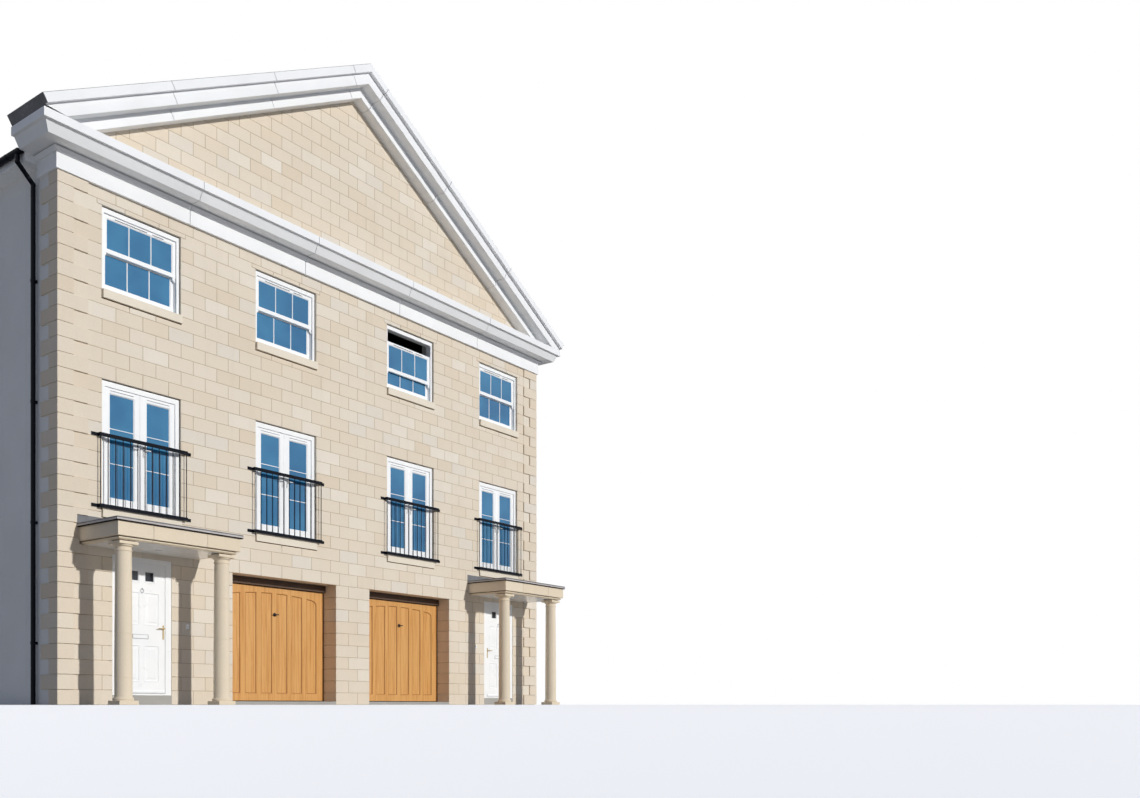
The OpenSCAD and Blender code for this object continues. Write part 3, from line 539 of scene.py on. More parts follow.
def oak_finish():
    f = Finish("golden_oak", 0.5)
    grain = f.noise(1, 6, 0.65, f.stretched(26, 26, 0.9), 0.6)
    fine = f.noise(1, 4, 0.7, f.stretched(150, 150, 3.2))
    colour = f.ramp(grain, (0.3, (190, 130, 62)), (0.48, (210, 154, 86)), (0.6, (218, 165, 98)),
                    (0.75, (200, 142, 74)))
    f.colour(f.tint(colour, f.level(fine, 0.6, 0.78), 0.45, (170, 108, 48)))
    f.rough(grain, 0.42, 0.56)
    f.bump(f.math("ADD", fine, grain), 0.0008)
    return f.material


def board_finish(name, dark, light, *stretch):
    f = Finish(name, 0.6)
    grain = f.noise(1, 5, 0.65, f.stretched(*stretch), 0.4)
    f.colour(f.ramp(grain, (0.3, dark), (0.7, light)))
    f.rough(grain, 0.5, 0.7)
    f.bump(grain, 0.001)
    return f.material


stone = stone_finish("cream_stone_ashlar", 0.0012, (0.0, (233, 224, 209)), (0.3, (228, 216, 198)),
                     (0.62, (226, 212, 191)), (0.88, (222, 207, 184)), (1.0, (226, 217, 203)))
smooth_stone = stone_finish("cream_stone_dressed", 0.0006, (0.2, (234, 219, 194)), (0.5, (231, 215, 189)),
                            (0.8, (226, 209, 181)))
sill_stone = stone_finish("pale_sill_stone", 0.0006, (0.3, (235, 225, 207)), (0.8, (228, 217, 197)))
mortar = plain_finish("lime_mortar", (176, 156, 126), (150, 132, 106), 0.92, 160, 0.0012)
trim = plain_finish("white_cast_stone", (245, 246, 247), (228, 229, 229), 0.7, 90, 0.0006)
render = plain_finish("fine_render", (243, 242, 239), (226, 225, 221), 0.88, 260, 0.0022, 0.8, 0.5)
# Dark brown for strips of painted shade: the pad over each column cap, the quirk of the canopies, and the
# joints round the sills, which are partly real joints
shade_seam = plain_finish("dark_seam_painted_shade", (92, 76, 58), (70, 58, 46), 0.95, 90, 0.0004,
                    Specular_IOR_Level=0.1)
plaster = plain_finish("wall_plaster", (240, 238, 233), (226, 223, 216), 0.85, 40, 0.0005)
grey_line = plain_finish("letter_plate_edge", (158, 160, 166), (132, 135, 140), 0.5, 60, 0.0002)
concrete = plain_finish("floated_concrete", (176, 173, 167), (146, 143, 137), 0.85, 70, 0.0015, 2.2)
gloss_white = plain_finish("gloss_soffit_board", (250, 250, 250), (240, 240, 240), 0.16, 30, 0.0001,
                           1.6, 0.3)
window_white = plain_finish("white_window_frame", (249, 250, 250), (238, 240, 241), 0.32, 18, 0.0002, 2.4)
black_metal = plain_finish("black_painted_metal", (11, 15, 25), (19, 25, 36), 0.36, 120, 0.0003, 6,
                           Specular_IOR_Level=0.09)
steel = plain_finish("zinc_coated_steel", (176, 180, 184), (140, 146, 152), 0.42, 60, 0.0003, 9,
                     Metallic=1.0)
brass = plain_finish("satin_brass", (216, 194, 146), (192, 168, 118), 0.3, 60, 0.0002, 9, Metallic=0.85)
chrome = plain_finish("satin_nickel", (206, 208, 210), (178, 180, 184), 0.28, 60, 0.0002, 9, Metallic=1.0)
dark_iron = plain_finish("dark_iron", (44, 40, 40), (66, 58, 54), 0.5, 90, 0.0004, 8,
                         Specular_IOR_Level=0.25)
lead = lead_finish()
# A paler copy of the lead for the drip: painted light where the drip faces the sky
painted_light_lead = plain_finish("lead_drip_painted_light", (196, 190, 187), (168, 162, 160), 0.6, 40, 0.0006, 3.0, 0.7)
# Near black for strips of painted shadow under the porch lead's drip and of painted shade in the sash vent
# slots
painted_shadow_dark = plain_finish("dark_strip_painted_shadow", (26, 22, 20), (38, 32, 30), 0.85, 40, 0.0004,
                        Specular_IOR_Level=0.1)
seal_rubber = plain_finish("grey_seal_rubber", (128, 134, 142), (104, 110, 118), 0.7, 40, 0.0002)
# Dark mastic, dark also to paint the shade of the window reveals
dark_mastic_shade = plain_finish("dark_mastic_painted_shade", (74, 70, 68), (58, 55, 54), 0.8, 60, 0.0003, Specular_IOR_Level=0.15)
lens_glass = plain_finish("frosted_lens", (226, 230, 232), (206, 212, 216), 0.35, 60, 0.0003)
slate = slate_finish("blue_grey_slate", (0.0, (70, 76, 90)), (0.5, (84, 89, 101)), (1.0, (103, 105, 112)))
ridge_clay = slate_finish("dark_ridge_clay", (0.0, (72, 74, 80)), (1.0, (96, 96, 100)))
# The window glass's blue, with its paler patches, is painted reflection of the sky
glass = glass_finish("window_glass_painted_sky_reflection", (44, 118, 168), (66, 144, 190))
door_glass = glass_finish("dark_door_glass", (36, 42, 52), (62, 70, 82))
oak = oak_finish()
# Darker oak for the line inside the garage panel beads: painted shade of the groove
oak_groove_shade = board_finish("oak_line_painted_groove_shade", (122, 76, 34), (150, 98, 48), 26, 26, 1.2)
floor_boards = board_finish("floor_boards", (176, 138, 96), (206, 170, 126), 22, 1.2, 22)
frame_timber = board_finish("frame_timber", (66, 46, 32), (86, 62, 44), 30, 30, 1.4)


def dress(material, arris, *names, segments=1):
    """Gives carried-over CAD nodes their material and softened arrises."""
    for name in names:
        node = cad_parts[name]
        node.data.materials.clear()
        node.data.materials.append(material)
        if arris:
            bevel = node.modifiers.new("arris", "BEVEL")
            bevel.width = arris
            bevel.segments = segments
            bevel.limit_method = "ANGLE"
            bevel.angle_limit = math.radians(50)


dress(concrete, 0.004, "ground_floor_slab", "garage_slabs")
dress(floor_boards, 0, "upper_floors")
dress(render, 0, "side_walls")
dress(window_white, 0.003, "window_frames", "window_sashes", "french_doors", segments=2)
dress(glass, 0, "window_glass")
dress(door_glass, 0, "front_door_glass_left", "front_door_glass_right")
dress(sill_stone, 0.005, "window_sills")
dress(black_metal, 0, "balconies", "gutters", "downpipes")
dress(lead, 0.003, "lead_capping")
dress(window_white, 0.002, "eaves_boards")
dress(gloss_white, 0, "porch_soffits")
dress(window_white, 0.0015, "door_frames", "front_door_left", "front_door_right")
dress(frame_timber, 0.003, "garage_frames")
dress(steel, 0, "garage_tracks", "garage_runners_left", "garage_runners_right")
dress(oak, 0.0015, "garage_door_left", "garage_door_right")


# Openings, each with its left, right, foot and head

def opening(x, width, z0, z1):
    """An opening from its middle and its width."""
    return (x - width / 2, x + width / 2, z0, z1)


def grown(hole, by):
    return (hole[0] - by, hole[1] + by, hole[2] - by, hole[3] + by)


def meets(hole, x0, x1, z0, z1):
    return hole[0] < x1 and hole[1] > x0 and hole[2] < z1 and hole[3] > z0


BELOW = -1
WINDOWS = [opening(x, WINDOW_W, z0, z1) for x in BAYS
           for z0, z1 in ((FRENCH_BASE_Z, FIRST_HEAD_Z), (SASH_BASE_Z, SASH_HEAD_Z))]
DOORWAYS = [opening(x, DOOR_W, BELOW, DOOR_HEAD_Z) for x in DOOR_BAYS]
GARAGES = [opening(x, GARAGE_W, BELOW, GARAGE_HEAD_Z) for x in GARAGE_BAYS]
OPENINGS = WINDOWS + DOORWAYS + GARAGES


# Front wall behind the blocks
def front_wall_core():
    shell = Shell()
    half_w = HALF_W - 0.001
    outer = [grown(h, 0.06) for h in OPENINGS]
    inner = WINDOWS + DOORWAYS + outer[-len(GARAGES):]
    slab(shell, half_w, CORNICE_TOP_Z, outer, MORTAR_BACK, REVEAL_DEPTH, front, (0, 1, 1))
    slab(shell, half_w, CORNICE_TOP_Z, inner, REVEAL_DEPTH, WALL_T, front, (1, 1, 1))
    reach = (TYMPANUM_TOP_Z - CORNICE_TOP_Z) / FALL
    triangle = [(-reach, CORNICE_TOP_Z), (reach, CORNICE_TOP_Z), (0, TYMPANUM_TOP_Z)]
    prism(shell, triangle, [(0, MORTAR_BACK), (0, WALL_T)], front)
    make_piece("front_wall_core", shell, (mortar, plaster),
               replaces=("front_piers", "front_bands", "pediment_wall"))


# Ashlar blocks of the front
def stone_tone():
    return min(0.9, max(0, chance.gauss(0.42, 0.2))) if chance.random() > 0.07 else 1.0


def quoin_reach(k):
    """Lengths of a course's corner stone on the front and on the side."""
    return (2 * COURSE, COURSE) if k % 2 == 0 else (COURSE, 2 * COURSE)


def course_joints(k):
    """Upright joints of a course, half a block out of line with the courses beside it."""
    first = -24.5 if k % 2 else -23.5
    return [(first + 2 * n) * COURSE for n in range(25)]


def lay_block(shell, outline, depth=BEDDING):
    """One block with its joints and arrises, and a little out of line."""
    shift = chance.uniform(0, 0.0008)
    rings = [(HALF_JOINT + ARRIS, shift), (HALF_JOINT, shift + ARRIS), (HALF_JOINT, depth)]
    prism(shell, outline, rings, front, stone_tone())


def place_block(shell, outline):
    """Lays a block that isn't too thin, and runs it into the reveal of an opening that it meets."""
    xs, zs = zip(*outline)
    if max(xs) - min(xs) < THINNEST_W or max(zs) - min(zs) < THINNEST_H:
        return
    depth = BEDDING
    for hole in OPENINGS:
        if meets(grown(hole, 0.01), min(xs), max(xs), min(zs), max(zs)):
            depth = max(depth, WALL_T - 0.001 if hole in GARAGES else REVEAL_DEPTH)
    lay_block(shell, outline, depth)


def fitted(hole, low, high):
    """An opening less the share that the blocks' own joints take from it."""
    x0, x1, z0, z1 = hole
    z0 = z0 if abs(z0 - low) < 0.001 else z0 + HALF_JOINT
    z1 = z1 if min(abs(z1 - high), abs(z1 - SASH_HEAD_Z)) < 0.001 else z1 - HALF_JOINT
    return (x0 + HALF_JOINT, x1 - HALF_JOINT, z0, z1)


def ashlar(name, z0, z1, lintel_bays=()):
    """Blocks of all courses between two heights."""
    shell = Shell()
    width = WINDOW_W + 2 * LINTEL_OVER
    lintels = [opening(x, width, SASH_HEAD_Z, SASH_HEAD_Z + LINTEL_H) for x in lintel_bays]
    for k in range(math.floor(z0 / COURSE + 0.001), math.ceil(z1 / COURSE - 0.001)):
        low = max(z0, k * COURSE)
        high = min(z1, (k + 1) * COURSE)
        end = HALF_W - quoin_reach(k)[0]
        jambs = [x for h in OPENINGS if h[2] < high and h[3] > low for x in h[:2]]
        joints = [x for x in course_joints(k)
                  if abs(x) < end - END_CLEAR and all(abs(x - jamb) > JAMB_CLEAR for jamb in jambs)]
        edges = [-end] + joints + [end]
        holes = [fitted(h, low, high) for h in OPENINGS] + lintels
        for a, b in zip(edges, edges[1:]):
            for outline in cut_outlines(a, b, low, high, [h for h in holes if meets(h, a, b, low, high)]):
                place_block(shell, outline)
    for x0, x1, low, high in lintels:
        middle = (x0 + x1) / 2
        edges = (x0, middle - 0.3, middle + 0.28, x1)
        for a, b in zip(edges, edges[1:]):
            place_block(shell, rectangle(a, b, low, high))
    make_piece(name, shell, (stone,))


def pediment_ashlar():
    shell = Shell()
    top = TYMPANUM_TOP_Z + 0.03
    for k in range(math.floor(CORNICE_TOP_Z / COURSE), math.ceil(top / COURSE)):
        low = max(CORNICE_TOP_Z, k * COURSE)
        reach = (top - low) / FALL
        edges = [-HALF_W] + course_joints(k) + [HALF_W]
        for a, b in zip(edges, edges[1:]):
            outline = clip(clip(rectangle(a, b, low, (k + 1) * COURSE), FALL, 1, top), -FALL, 1, top)
            if len(outline) > 2 and area(outline) >= SMALLEST_AREA and a <= reach and b >= -reach:
                lay_block(shell, outline)
    make_piece("pediment_ashlar", shell, (stone,))


# Corner stones, wrapped round both corners
def corner_stones():
    shell = Shell()
    proud = 0.025
    thin = 0.02
    outer = HALF_W + proud
    inner = HALF_W - thin
    canopy_x = OUTER_BAY + PORCH_W / 2
    for side in SIDES:
        for k in range(math.ceil(ARCHITRAVE_Z / COURSE - 0.001)):
            low = k * COURSE
            high = min(low + COURSE, ARCHITRAVE_Z)
            front_l, side_l = quoin_reach(k)
            tone = stone_tone()
            cuts = [z for z in (CANOPY_Z, CANOPY_TOP_Z, FLASHING_TOP_Z) if low < z < high]
            for a, b in zip([low] + cuts, cuts + [high]):
                # The stones stop at the porch and at its flashing
                start = HALF_W - front_l
                if CANOPY_Z <= a < FLASHING_TOP_Z:
                    start = max(start, canopy_x + (LEAD_OVER if a >= CANOPY_TOP_Z else 0.001))
                start += HALF_JOINT
                lower = HALF_JOINT if a == low else 0
                upper = HALF_JOINT if b == high else 0
                outline = [(start, FRONT_Y - proud), (outer, FRONT_Y - proud), (outer, FRONT_Y + side_l),
                           (inner, FRONT_Y + side_l), (inner, FRONT_Y + thin), (start, FRONT_Y + thin)]
                if side < 0:
                    outline = [(-x, y) for x, y in reversed(outline)]
                rings = [(ARRIS if lower else 0, a + lower), (0, a + lower + ARRIS),
                         (0, b - upper - ARRIS), (ARRIS if upper else 0, b - upper)]
                prism(shell, outline, rings, along_z, tone)
    make_piece("corner_quoins", shell, (stone,), replaces=("corner_stones",))


# Render that runs up to the teeth of the corner stones on both sides
def rendered_returns():
    shell = Shell()
    back = HALF_W - BEDDING
    render_y = FRONT_Y + 0.18
    for side in SIDES:
        for y0, x0, x1 in ((render_y, HALF_W, back), (FRONT_Y + WALL_T, back, HALF_W - WALL_T)):
            outline = rectangle(y0, FRONT_Y + RETURN_D, 0, CORNICE_TOP_Z)
            prism(shell, outline, [(0, side * x0), (0, side * x1)], along_x)
    make_piece("rendered_returns", shell, (render,), replaces=("stone_returns",))


# Rear wall in render, with plaster inside
def rear_wall():
    shell = Shell()
    below = REAR_WINDOW_H + SILL_H
    holes = []
    for x in BAYS:
        base = DOOR_HEAD_Z - below if x in DOOR_BAYS else GROUND_FLOOR_Z
        storeys = ((base, DOOR_HEAD_Z), (FIRST_HEAD_Z - below, FIRST_HEAD_Z), (SASH_BASE_Z, SASH_HEAD_Z))
        holes += [opening(x, WINDOW_W, z0, z1) for z0, z1 in storeys]
    ridge_z = SLATE_TOP_Z - ROOF_T - 0.001
    eaves_z = ridge_z - FALL * HALF_W
    slab(shell, HALF_W, eaves_z, holes, 0, WALL_T, rear, (0, 1, 0))
    prism(shell, [(-HALF_W, eaves_z), (HALF_W, eaves_z), (0, ridge_z)], [(0, 0), (0, WALL_T)], rear)
    make_piece("rear_wall", shell, (render, plaster), replaces=("rear_piers", "rear_bands"))


# Cornice in separate stones, mitred round both corners, from its projections and heights
CORNICE_PROFILE = [
    (-0.02, ARCHITRAVE_Z), (0.052, ARCHITRAVE_Z), (0.055, 7.828), (0.055, 8.057), (0.052, 8.06),
    (0.075, 8.06), (0.079, 8.066), (0.088, 8.084), (0.102, 8.104), (0.11, 8.114), (0.11, 8.118),
    (0.07, 8.12), (0.07, 8.14), (0.307, 8.14), (0.311, 8.143), (0.384, 8.282), (0.385, 8.285),
    (0.427, 8.285), (0.43, 8.288), (0.43, 8.412), (0.427, CORNICE_TOP_Z), (-0.02, CORNICE_TOP_Z),
]


def cornice():
    shell = Shell()
    gap = 0.004
    cut = 0.005
    joints = (-3.58, -1.2, 1.2, 3.58)
    outline = CORNICE_PROFILE
    tucked = inset_outline(outline, cut)

    def straight(points, x):
        return [(x, FRONT_Y - p, z) for p, z in points]

    end = stone_ends(straight, outline, tucked, gap, cut)
    for a, b in zip(joints, joints[1:]):
        loft(shell, end(a, 1) + end(b, -1)[::-1], chance.random())
    for side in SIDES:
        corner = [[(side * (HALF_W + p), FRONT_Y - p, z) for p, z in outline],
                  [(side * (HALF_W + p), FRONT_Y + RETURN_D, z) for p, z in outline]]
        loft(shell, end(side * joints[-1], side) + corner, chance.random())
    make_piece("cornice_stones", shell, (trim,), replaces=("cornice",))


# Raking cornice in separate stones, with sheet lead dressed over its ends, dark to paint their shade as
# well
def raking_cornice():
    shell = Shell()
    clad = Shell()
    run = (HALF_W + RAKE_OVER) / COSINE
    rise = RAKE_TOP_Z - CORNICE_TOP_Z
    arris = 0.004
    sheet = 0.003
    gap = 0.0045
    cut = 0.005
    p1, p2, p3 = 0.5, 0.43, 0.22
    n1, n2, n3 = -0.13, -0.312, -RAKE_H
    turn = ((run - sheet) * SINE - rise) / COSINE
    outline = [
        (RETURN_D, 0), (arris - p1, 0), (-p1, -arris), (-p1, n1 + arris), (arris - p1, n1),
        (-p2, n1), (-p2, turn), (-p2, n2 + arris), (arris - p2, n2),
        (-p3, n2), (-p3, n3 + arris), (arris - p3, n3), (RETURN_D, n3), (RETURN_D, turn),
    ]
    tucked = [(y + (arris if y < 0 else 0), n + (arris if n < -0.01 else -arris)) for y, n in outline]
    low = turn + arris
    cover = [(RETURN_D, 0), (-p1, 0), (-p1, n1), (-p2, n1), (-p2, low), (RETURN_D, low)]
    joints = (0.52, 2.6, 4.85)

    def mitre(n):
        return -n * FALL

    def foot(n):
        return min(run - sheet, (rise + n * COSINE) / SINE)

    for side in SIDES:
        def ring(points, place):
            return [(side * (place(n) * COSINE + n * SINE), FRONT_Y + y,
                     RAKE_TOP_Z - place(n) * SINE + n * COSINE) for y, n in points]

        def square(points, s):
            return ring(points, lambda n: s)

        end = stone_ends(square, outline, tucked, gap, cut)
        starts = [[ring(outline, mitre)]] + [end(joint, 1) for joint in joints]
        stops = [end(joint, -1)[::-1] for joint in joints] + [[ring(outline, foot)]]
        for start, stop in zip(starts, stops):
            loft(shell, start + stop, chance.random())
        # Lead sheet over each end, at a dark tone that also paints the end's shade
        loft(clad, [square(cover, run - sheet), square(cover, run)], 0.1)
    make_piece("raking_cornice_end_lead_and_shade", clad, (lead,))
    make_piece("raking_cornice_stones", shell, (trim,), replaces=("raking_cornice",))


# Slates on both slopes, over a deck
def roof_slope(side):
    shell = Shell()
    deck_top = -0.024
    deck_low = -ROOF_T * COSINE
    end = EAVES_X / COSINE
    gauge = 0.205
    lap = 0.05
    width = 0.25
    thick = 0.007
    gap = 0.0015
    shortest = 0.06
    thinnest = 0.03

    def lay(y0, y1, tone, kind, outline):
        loft(shell, [[(side * (s * COSINE + n * SINE), y, SLATE_TOP_Z - s * SINE + n * COSINE)
                      for s, n in outline] for y in (y0, y1)], tone, kind)

    deck = [(-deck_top * FALL, deck_top), (end + deck_top * FALL + 0.01, deck_top),
            (end + deck_low * FALL, deck_low), (-deck_low * FALL, deck_low)]
    lay(ROOF_Y, VERGE_Y, 0.5, 1, deck)
    tail = end
    row = 0
    while tail > shortest:
        head = max(tail - gauge - lap, 0.012)
        dip = 0.014 * (tail - head) / (gauge + lap)
        y = ROOF_Y - (width / 2 if row % 2 else 0)
        while y < VERGE_Y - 0.01:
            y0 = max(y, ROOF_Y) + gap
            y1 = min(y + width, VERGE_Y) - gap
            y += width
            if y1 - y0 < thinnest:
                continue
            tone = chance.random()
            lift = chance.uniform(-0.0012, 0)
            slip = tail + chance.uniform(-0.003, 0)
            under = lift - thick
            lay(y0, y1, tone, 0, [(slip, lift), (head, lift - dip), (head, under - dip), (slip, under)])
        tail -= gauge
        row += 1
    name = SIDES[side]
    make_piece(f"slates_{name}", shell, (slate, concrete), replaces=(f"roof_slope_{name}",))


# Ridge tiles, laid end to end on mortar
def ridge():
    shell = Shell()
    count = 20
    gap = 0.002
    half = 0.17
    thick = 0.022
    bed_z = SLATE_TOP_Z + 0.0006
    foot = bed_z - FALL * half
    crown = SLATE_TOP_Z + 0.0296
    slope = [(0.008, crown), (0.022, crown - 0.0051), (half, foot + thick), (half, foot)]
    outline = [(-half, foot), (0, bed_z)] + slope[::-1] + [(-x, z) for x, z in slope[:-1]]
    length = (VERGE_Y - ROOF_Y) / count
    for i in range(count):
        y0 = ROOF_Y + i * length + gap
        y1 = y0 + length - 2 * gap
        rings = [(gap, y0), (0, y0 + ARRIS), (0, y1 - ARRIS), (gap, y1)]
        prism(shell, outline, rings, along_y, chance.random())
    make_piece("ridge_tile_run", shell, (ridge_clay,), replaces=("ridge_tiles",))


# Boards over the open front ends of the eaves, and gutter brackets
def eaves_fittings():
    shell = Shell()
    metal = Shell()
    board_h = 0.14
    first = 0.35
    last = 0.2
    spacing = 0.9
    edge = EAVES_X - 0.001
    y0 = FRONT_Y + RETURN_D
    foot = EAVES_BOARD_Z
    board = [(HALF_W, foot), (edge, foot), (edge, foot + board_h),
             (HALF_W, foot + board_h + FALL * (edge - HALF_W))]
    gutter_z = SLATE_TOP_Z - EAVES_X * FALL - 0.05
    strap = rectangle(GUTTER_R, GUTTER_R + 0.0045, 0, 0.028)
    angles = [math.pi * n / 12 for n in range(13)]
    for side in SIDES:
        prism(shell, [(side * x, z) for x, z in board], [(0, y0 + 0.0005), (0, y0 + 0.0078)], along_y)
        y = y0 + first
        while y < VERGE_Y - last:
            loft(metal, [[(side * (GUTTER_X + r * math.cos(a)), y + along, gutter_z - r * math.sin(a))
                          for r, along in strap] for a in angles])
            y += spacing
    make_piece("eaves_end_boards", shell, (window_white,))
    make_piece("gutter_brackets", metal, (black_metal,), smooth=True)


# Turned porch columns with drum joints
def columns():
    shell = Shell()
    pad_z = CANOPY_Z - 0.015
    cap_z = pad_z - 0.043
    neck_z = cap_z - 0.094
    plinth_h = 0.06
    foot_r = 0.123
    neck_r = 0.111
    core_r = 0.0005
    taper_z = 0.61
    groove = 0.0035
    drum_joints = (0.39, 1.03, 1.67)
    heights = sorted(drum_joints + (0.25, taper_z, 0.8, 1.25, 1.47, 1.85, 2.05))
    astragal = ((0, 0), (0.0075, 0.002), (0.009, 0.006), (0.009, 0.013), (0.0075, 0.017), (0, 0.02))

    def radius(z):
        t = max(0, (z - taper_z) / (neck_z - taper_z))
        return foot_r - (foot_r - neck_r) * t * (0.6 + 0.4 * t)

    profile = [(core_r, plinth_h), (foot_r + 0.02, plinth_h)]
    profile += arc(foot_r + 0.008, 0.082, 0.014, 0.018, -60, 60, 8)
    profile += [(foot_r + 0.004, 0.104), (foot_r + 0.004, 0.11), (foot_r + 0.0005, 0.114), (foot_r, 0.12)]
    for z in heights:
        r = radius(z)
        if z in drum_joints:
            profile += [(r, z - groove), (r - groove, z - 0.001), (r - groove, z + 0.001), (r, z + groove)]
        else:
            profile.append((r, z))
    profile += [(neck_r + out, neck_z + up) for out, up in astragal]
    profile.append((neck_r, cap_z - 0.034))
    profile += arc(neck_r + 0.006, cap_z, 0.022, 0.03, -90, 0, 6)
    profile.append((core_r, cap_z))
    # Plinth, cap and the pad over it, painted dark as the shadow gap under the canopy
    blocks = ((0.151, 0, plinth_h, 0), (0.15, cap_z, pad_z, 0), (0.112, pad_z, CANOPY_Z, 1))
    y = FRONT_Y - PORCH_P + COLUMN_IN
    for bay in DOOR_BAYS:
        for hand in SIDES:
            x = bay + hand * (PORCH_W / 2 - COLUMN_IN)
            for half, z0, z1, kind in blocks:
                box(shell, (x - half, y - half, z0), (x + half, y + half, z1), 0.003, 0.4, kind)
            loft(shell, turned(x, y, profile, 64), chance.uniform(0.2, 0.6))
    make_piece("turned_columns", shell, (smooth_stone, shade_seam), replaces=("porch_columns",),
               smooth=True)


def round_porch(shell, bay, half_w, reach, base, profile, tone, kind):
    """Runs a profile of inset and height round the three open sides of a porch, with mitres."""
    corners = ((-1, FRONT_Y), (-1, None), (1, None), (1, FRONT_Y))
    loft(shell, [[(bay + side * (half_w - s), y or FRONT_Y - reach + s, base + z) for s, z in profile]
                 for side, y in corners], tone, kind)


# Porch canopies in separate stones, with a rounded moulding and a quirk at the foot
def canopies():
    shell = Shell()
    foot = 0.06
    ledge = 0.085
    quirk_z0 = 0.034
    quirk_z1 = 0.049
    core = 0.29
    pocket = 0.0102
    gap = 0.002
    joints = (-0.476, 0.438)
    outline = [(core, CANOPY_H), (core, pocket), (ledge, pocket), (ledge, 0.0), (foot, 0.0)]
    outline += arc(foot, quirk_z0, -0.028, 0.03, -90, 0, 6)
    outline += [(foot, quirk_z0 + 0.0002), (foot, quirk_z1), (ARRIS, quirk_z1), (0.0, quirk_z1 + ARRIS),
                (0.0, CANOPY_H - ARRIS), (ARRIS, CANOPY_H)]
    tucked = inset_outline(outline, math.copysign(gap, area(outline)))
    for bay in DOOR_BAYS:
        hand = 1 if bay < 0 else -1

        def across(points, x):
            return [(bay + hand * x, FRONT_Y - PORCH_P + s, CANOPY_Z + z) for s, z in points]

        end = stone_ends(across, outline, tucked, gap, gap)
        loft(shell, end(joints[0], 1) + end(joints[1], -1)[::-1], chance.uniform(0.2, 0.7))
        for side, joint in zip(SIDES, joints):
            corner = [[(bay + hand * side * (PORCH_W / 2 - s), y or FRONT_Y - PORCH_P + s, CANOPY_Z + z)
                       for s, z in outline] for y in (None, FRONT_Y)]
            loft(shell, end(joint, side) + corner, chance.uniform(0.2, 0.7))
        # Dark strip laid in the quirk, painted shade
        strip = rectangle(foot + 0.001, foot - 0.003, quirk_z0 + 0.001, quirk_z1 + 0.0005)
        round_porch(shell, bay, PORCH_W / 2, PORCH_P, CANOPY_Z, strip, 0.5, 1)
        half = PORCH_W / 2 - core + 0.001
        box(shell, (bay - half, FRONT_Y - PORCH_P + core - 0.001, CANOPY_Z + pocket),
            (bay + half, FRONT_Y, CANOPY_TOP_Z - 0.001))
    make_piece("canopy_stones", shell, (smooth_stone, shade_seam), replaces=("porch_canopies",))


# Sheet lead on the porches: rolled edge over a pale drip (painted light) and a dark strip (painted shadow),
# batten rolls and a stepped flashing
def lead_roofs():
    shell = Shell()
    low = CANOPY_TOP_Z
    deep = PORCH_P + LEAD_OVER
    wide = PORCH_W / 2 + LEAD_OVER
    flat = 0.046
    inside = 0.024
    split = 0.36
    middle = split + 0.04
    rolls = (-0.54, 0.0, 0.54)
    # Bands round the edge: the strip under the drip is painted dark as painted shadow, the drip is painted
    # pale as painted light, then the rolled edge
    bands = (
        (0.0, 2, [(0.006, 0.0), (0.006, 0.013), (0.06, 0.013), (0.06, 0.0)]),
        (0.8, 1, [(0.0, 0.0125), (0.0, 0.037), (0.003, 0.0385), (0.06, 0.0385), (0.06, 0.0125)]),
        (0.4, 0, arc(0.016, 0.0472, -0.0125, 0.0125, -40, 180, 11) + [(0.03, 0.0385), (0.008, 0.0385)]),
    )
    for bay in DOOR_BAYS:
        for tone, kind, profile in bands:
            round_porch(shell, bay, wide, deep, low, profile, tone, kind)
        box(shell, (bay - wide + inside, FRONT_Y - deep + inside, low + 0.001),
            (bay + wide - inside, FRONT_Y, low + flat), 0.001, 0.3)
        start = FRONT_Y - deep + 0.02
        for x in rolls:
            batten = arc(bay + x, low + flat - 0.001, 0.019, 0.013, 0, 180, 9)
            prism(shell, batten, [(0.003, start), (0, start + 0.01), (0, FRONT_Y - 0.006)], along_y,
                  chance.uniform(0.2, 0.6))
        # Flashing in lapped lengths, dressed to the wall
        for a, b, out in ((-wide, -split, 0.0055), (-middle, middle, 0.008), (split, wide, 0.0055)):
            box(shell, (bay + a, FRONT_Y - out, low + flat - 0.002), (bay + b, FRONT_Y, FLASHING_TOP_Z),
                0.0015, chance.uniform(0.3, 0.9), axis=1)
    make_piece("porch_sheet_lead", shell, (lead, painted_light_lead, painted_shadow_dark),
               replaces=("porch_lead_roofs",), smooth=True)


# Round lights in the porch soffits
def soffit_lights():
    rings = Shell()
    lenses = Shell()
    light_out = 0.425
    ring = ((0.041, 0.001), (0.041, -0.002), (0.044, -0.004), (0.051, -0.003), (0.054, 0.0), (0.0445, 0.0))
    lens = ((0.0005, 0.001), (0.02, 0.0015), (0.034, 0.003), (0.0415, 0.006), (0.0415, 0.009),
            (0.0005, 0.009))
    for bay in DOOR_BAYS:
        for shell, profile in ((rings, ring), (lenses, lens)):
            profile = [(r, CANOPY_Z + z) for r, z in profile]
            loft(shell, list(zip(*turned(bay, FRONT_Y - light_out, profile, 40))), closed=True)
    make_piece("soffit_light_rings", rings, (chrome,), smooth=True)
    make_piece("soffit_light_lenses", lenses, (lens_glass,), smooth=True)


# Sash windows and French doors: bars, beads and small parts
def window_places():
    """Every sash window: its middle, sill top and head, the drop of its upper sash, and its wall."""
    for x in BAYS:
        yield x, SASH_BASE_Z + SILL_H, SASH_HEAD_Z, OPEN_SASH_DROP if x == INNER_BAY else 0.0, front
        yield x, SASH_BASE_Z + SILL_H, SASH_HEAD_Z, 0.0, rear
        yield x, FIRST_HEAD_Z - REAR_WINDOW_H, FIRST_HEAD_Z, 0.0, rear
        if x in DOOR_BAYS:
            yield x, DOOR_HEAD_Z - REAR_WINDOW_H, DOOR_HEAD_Z, 0.0, rear


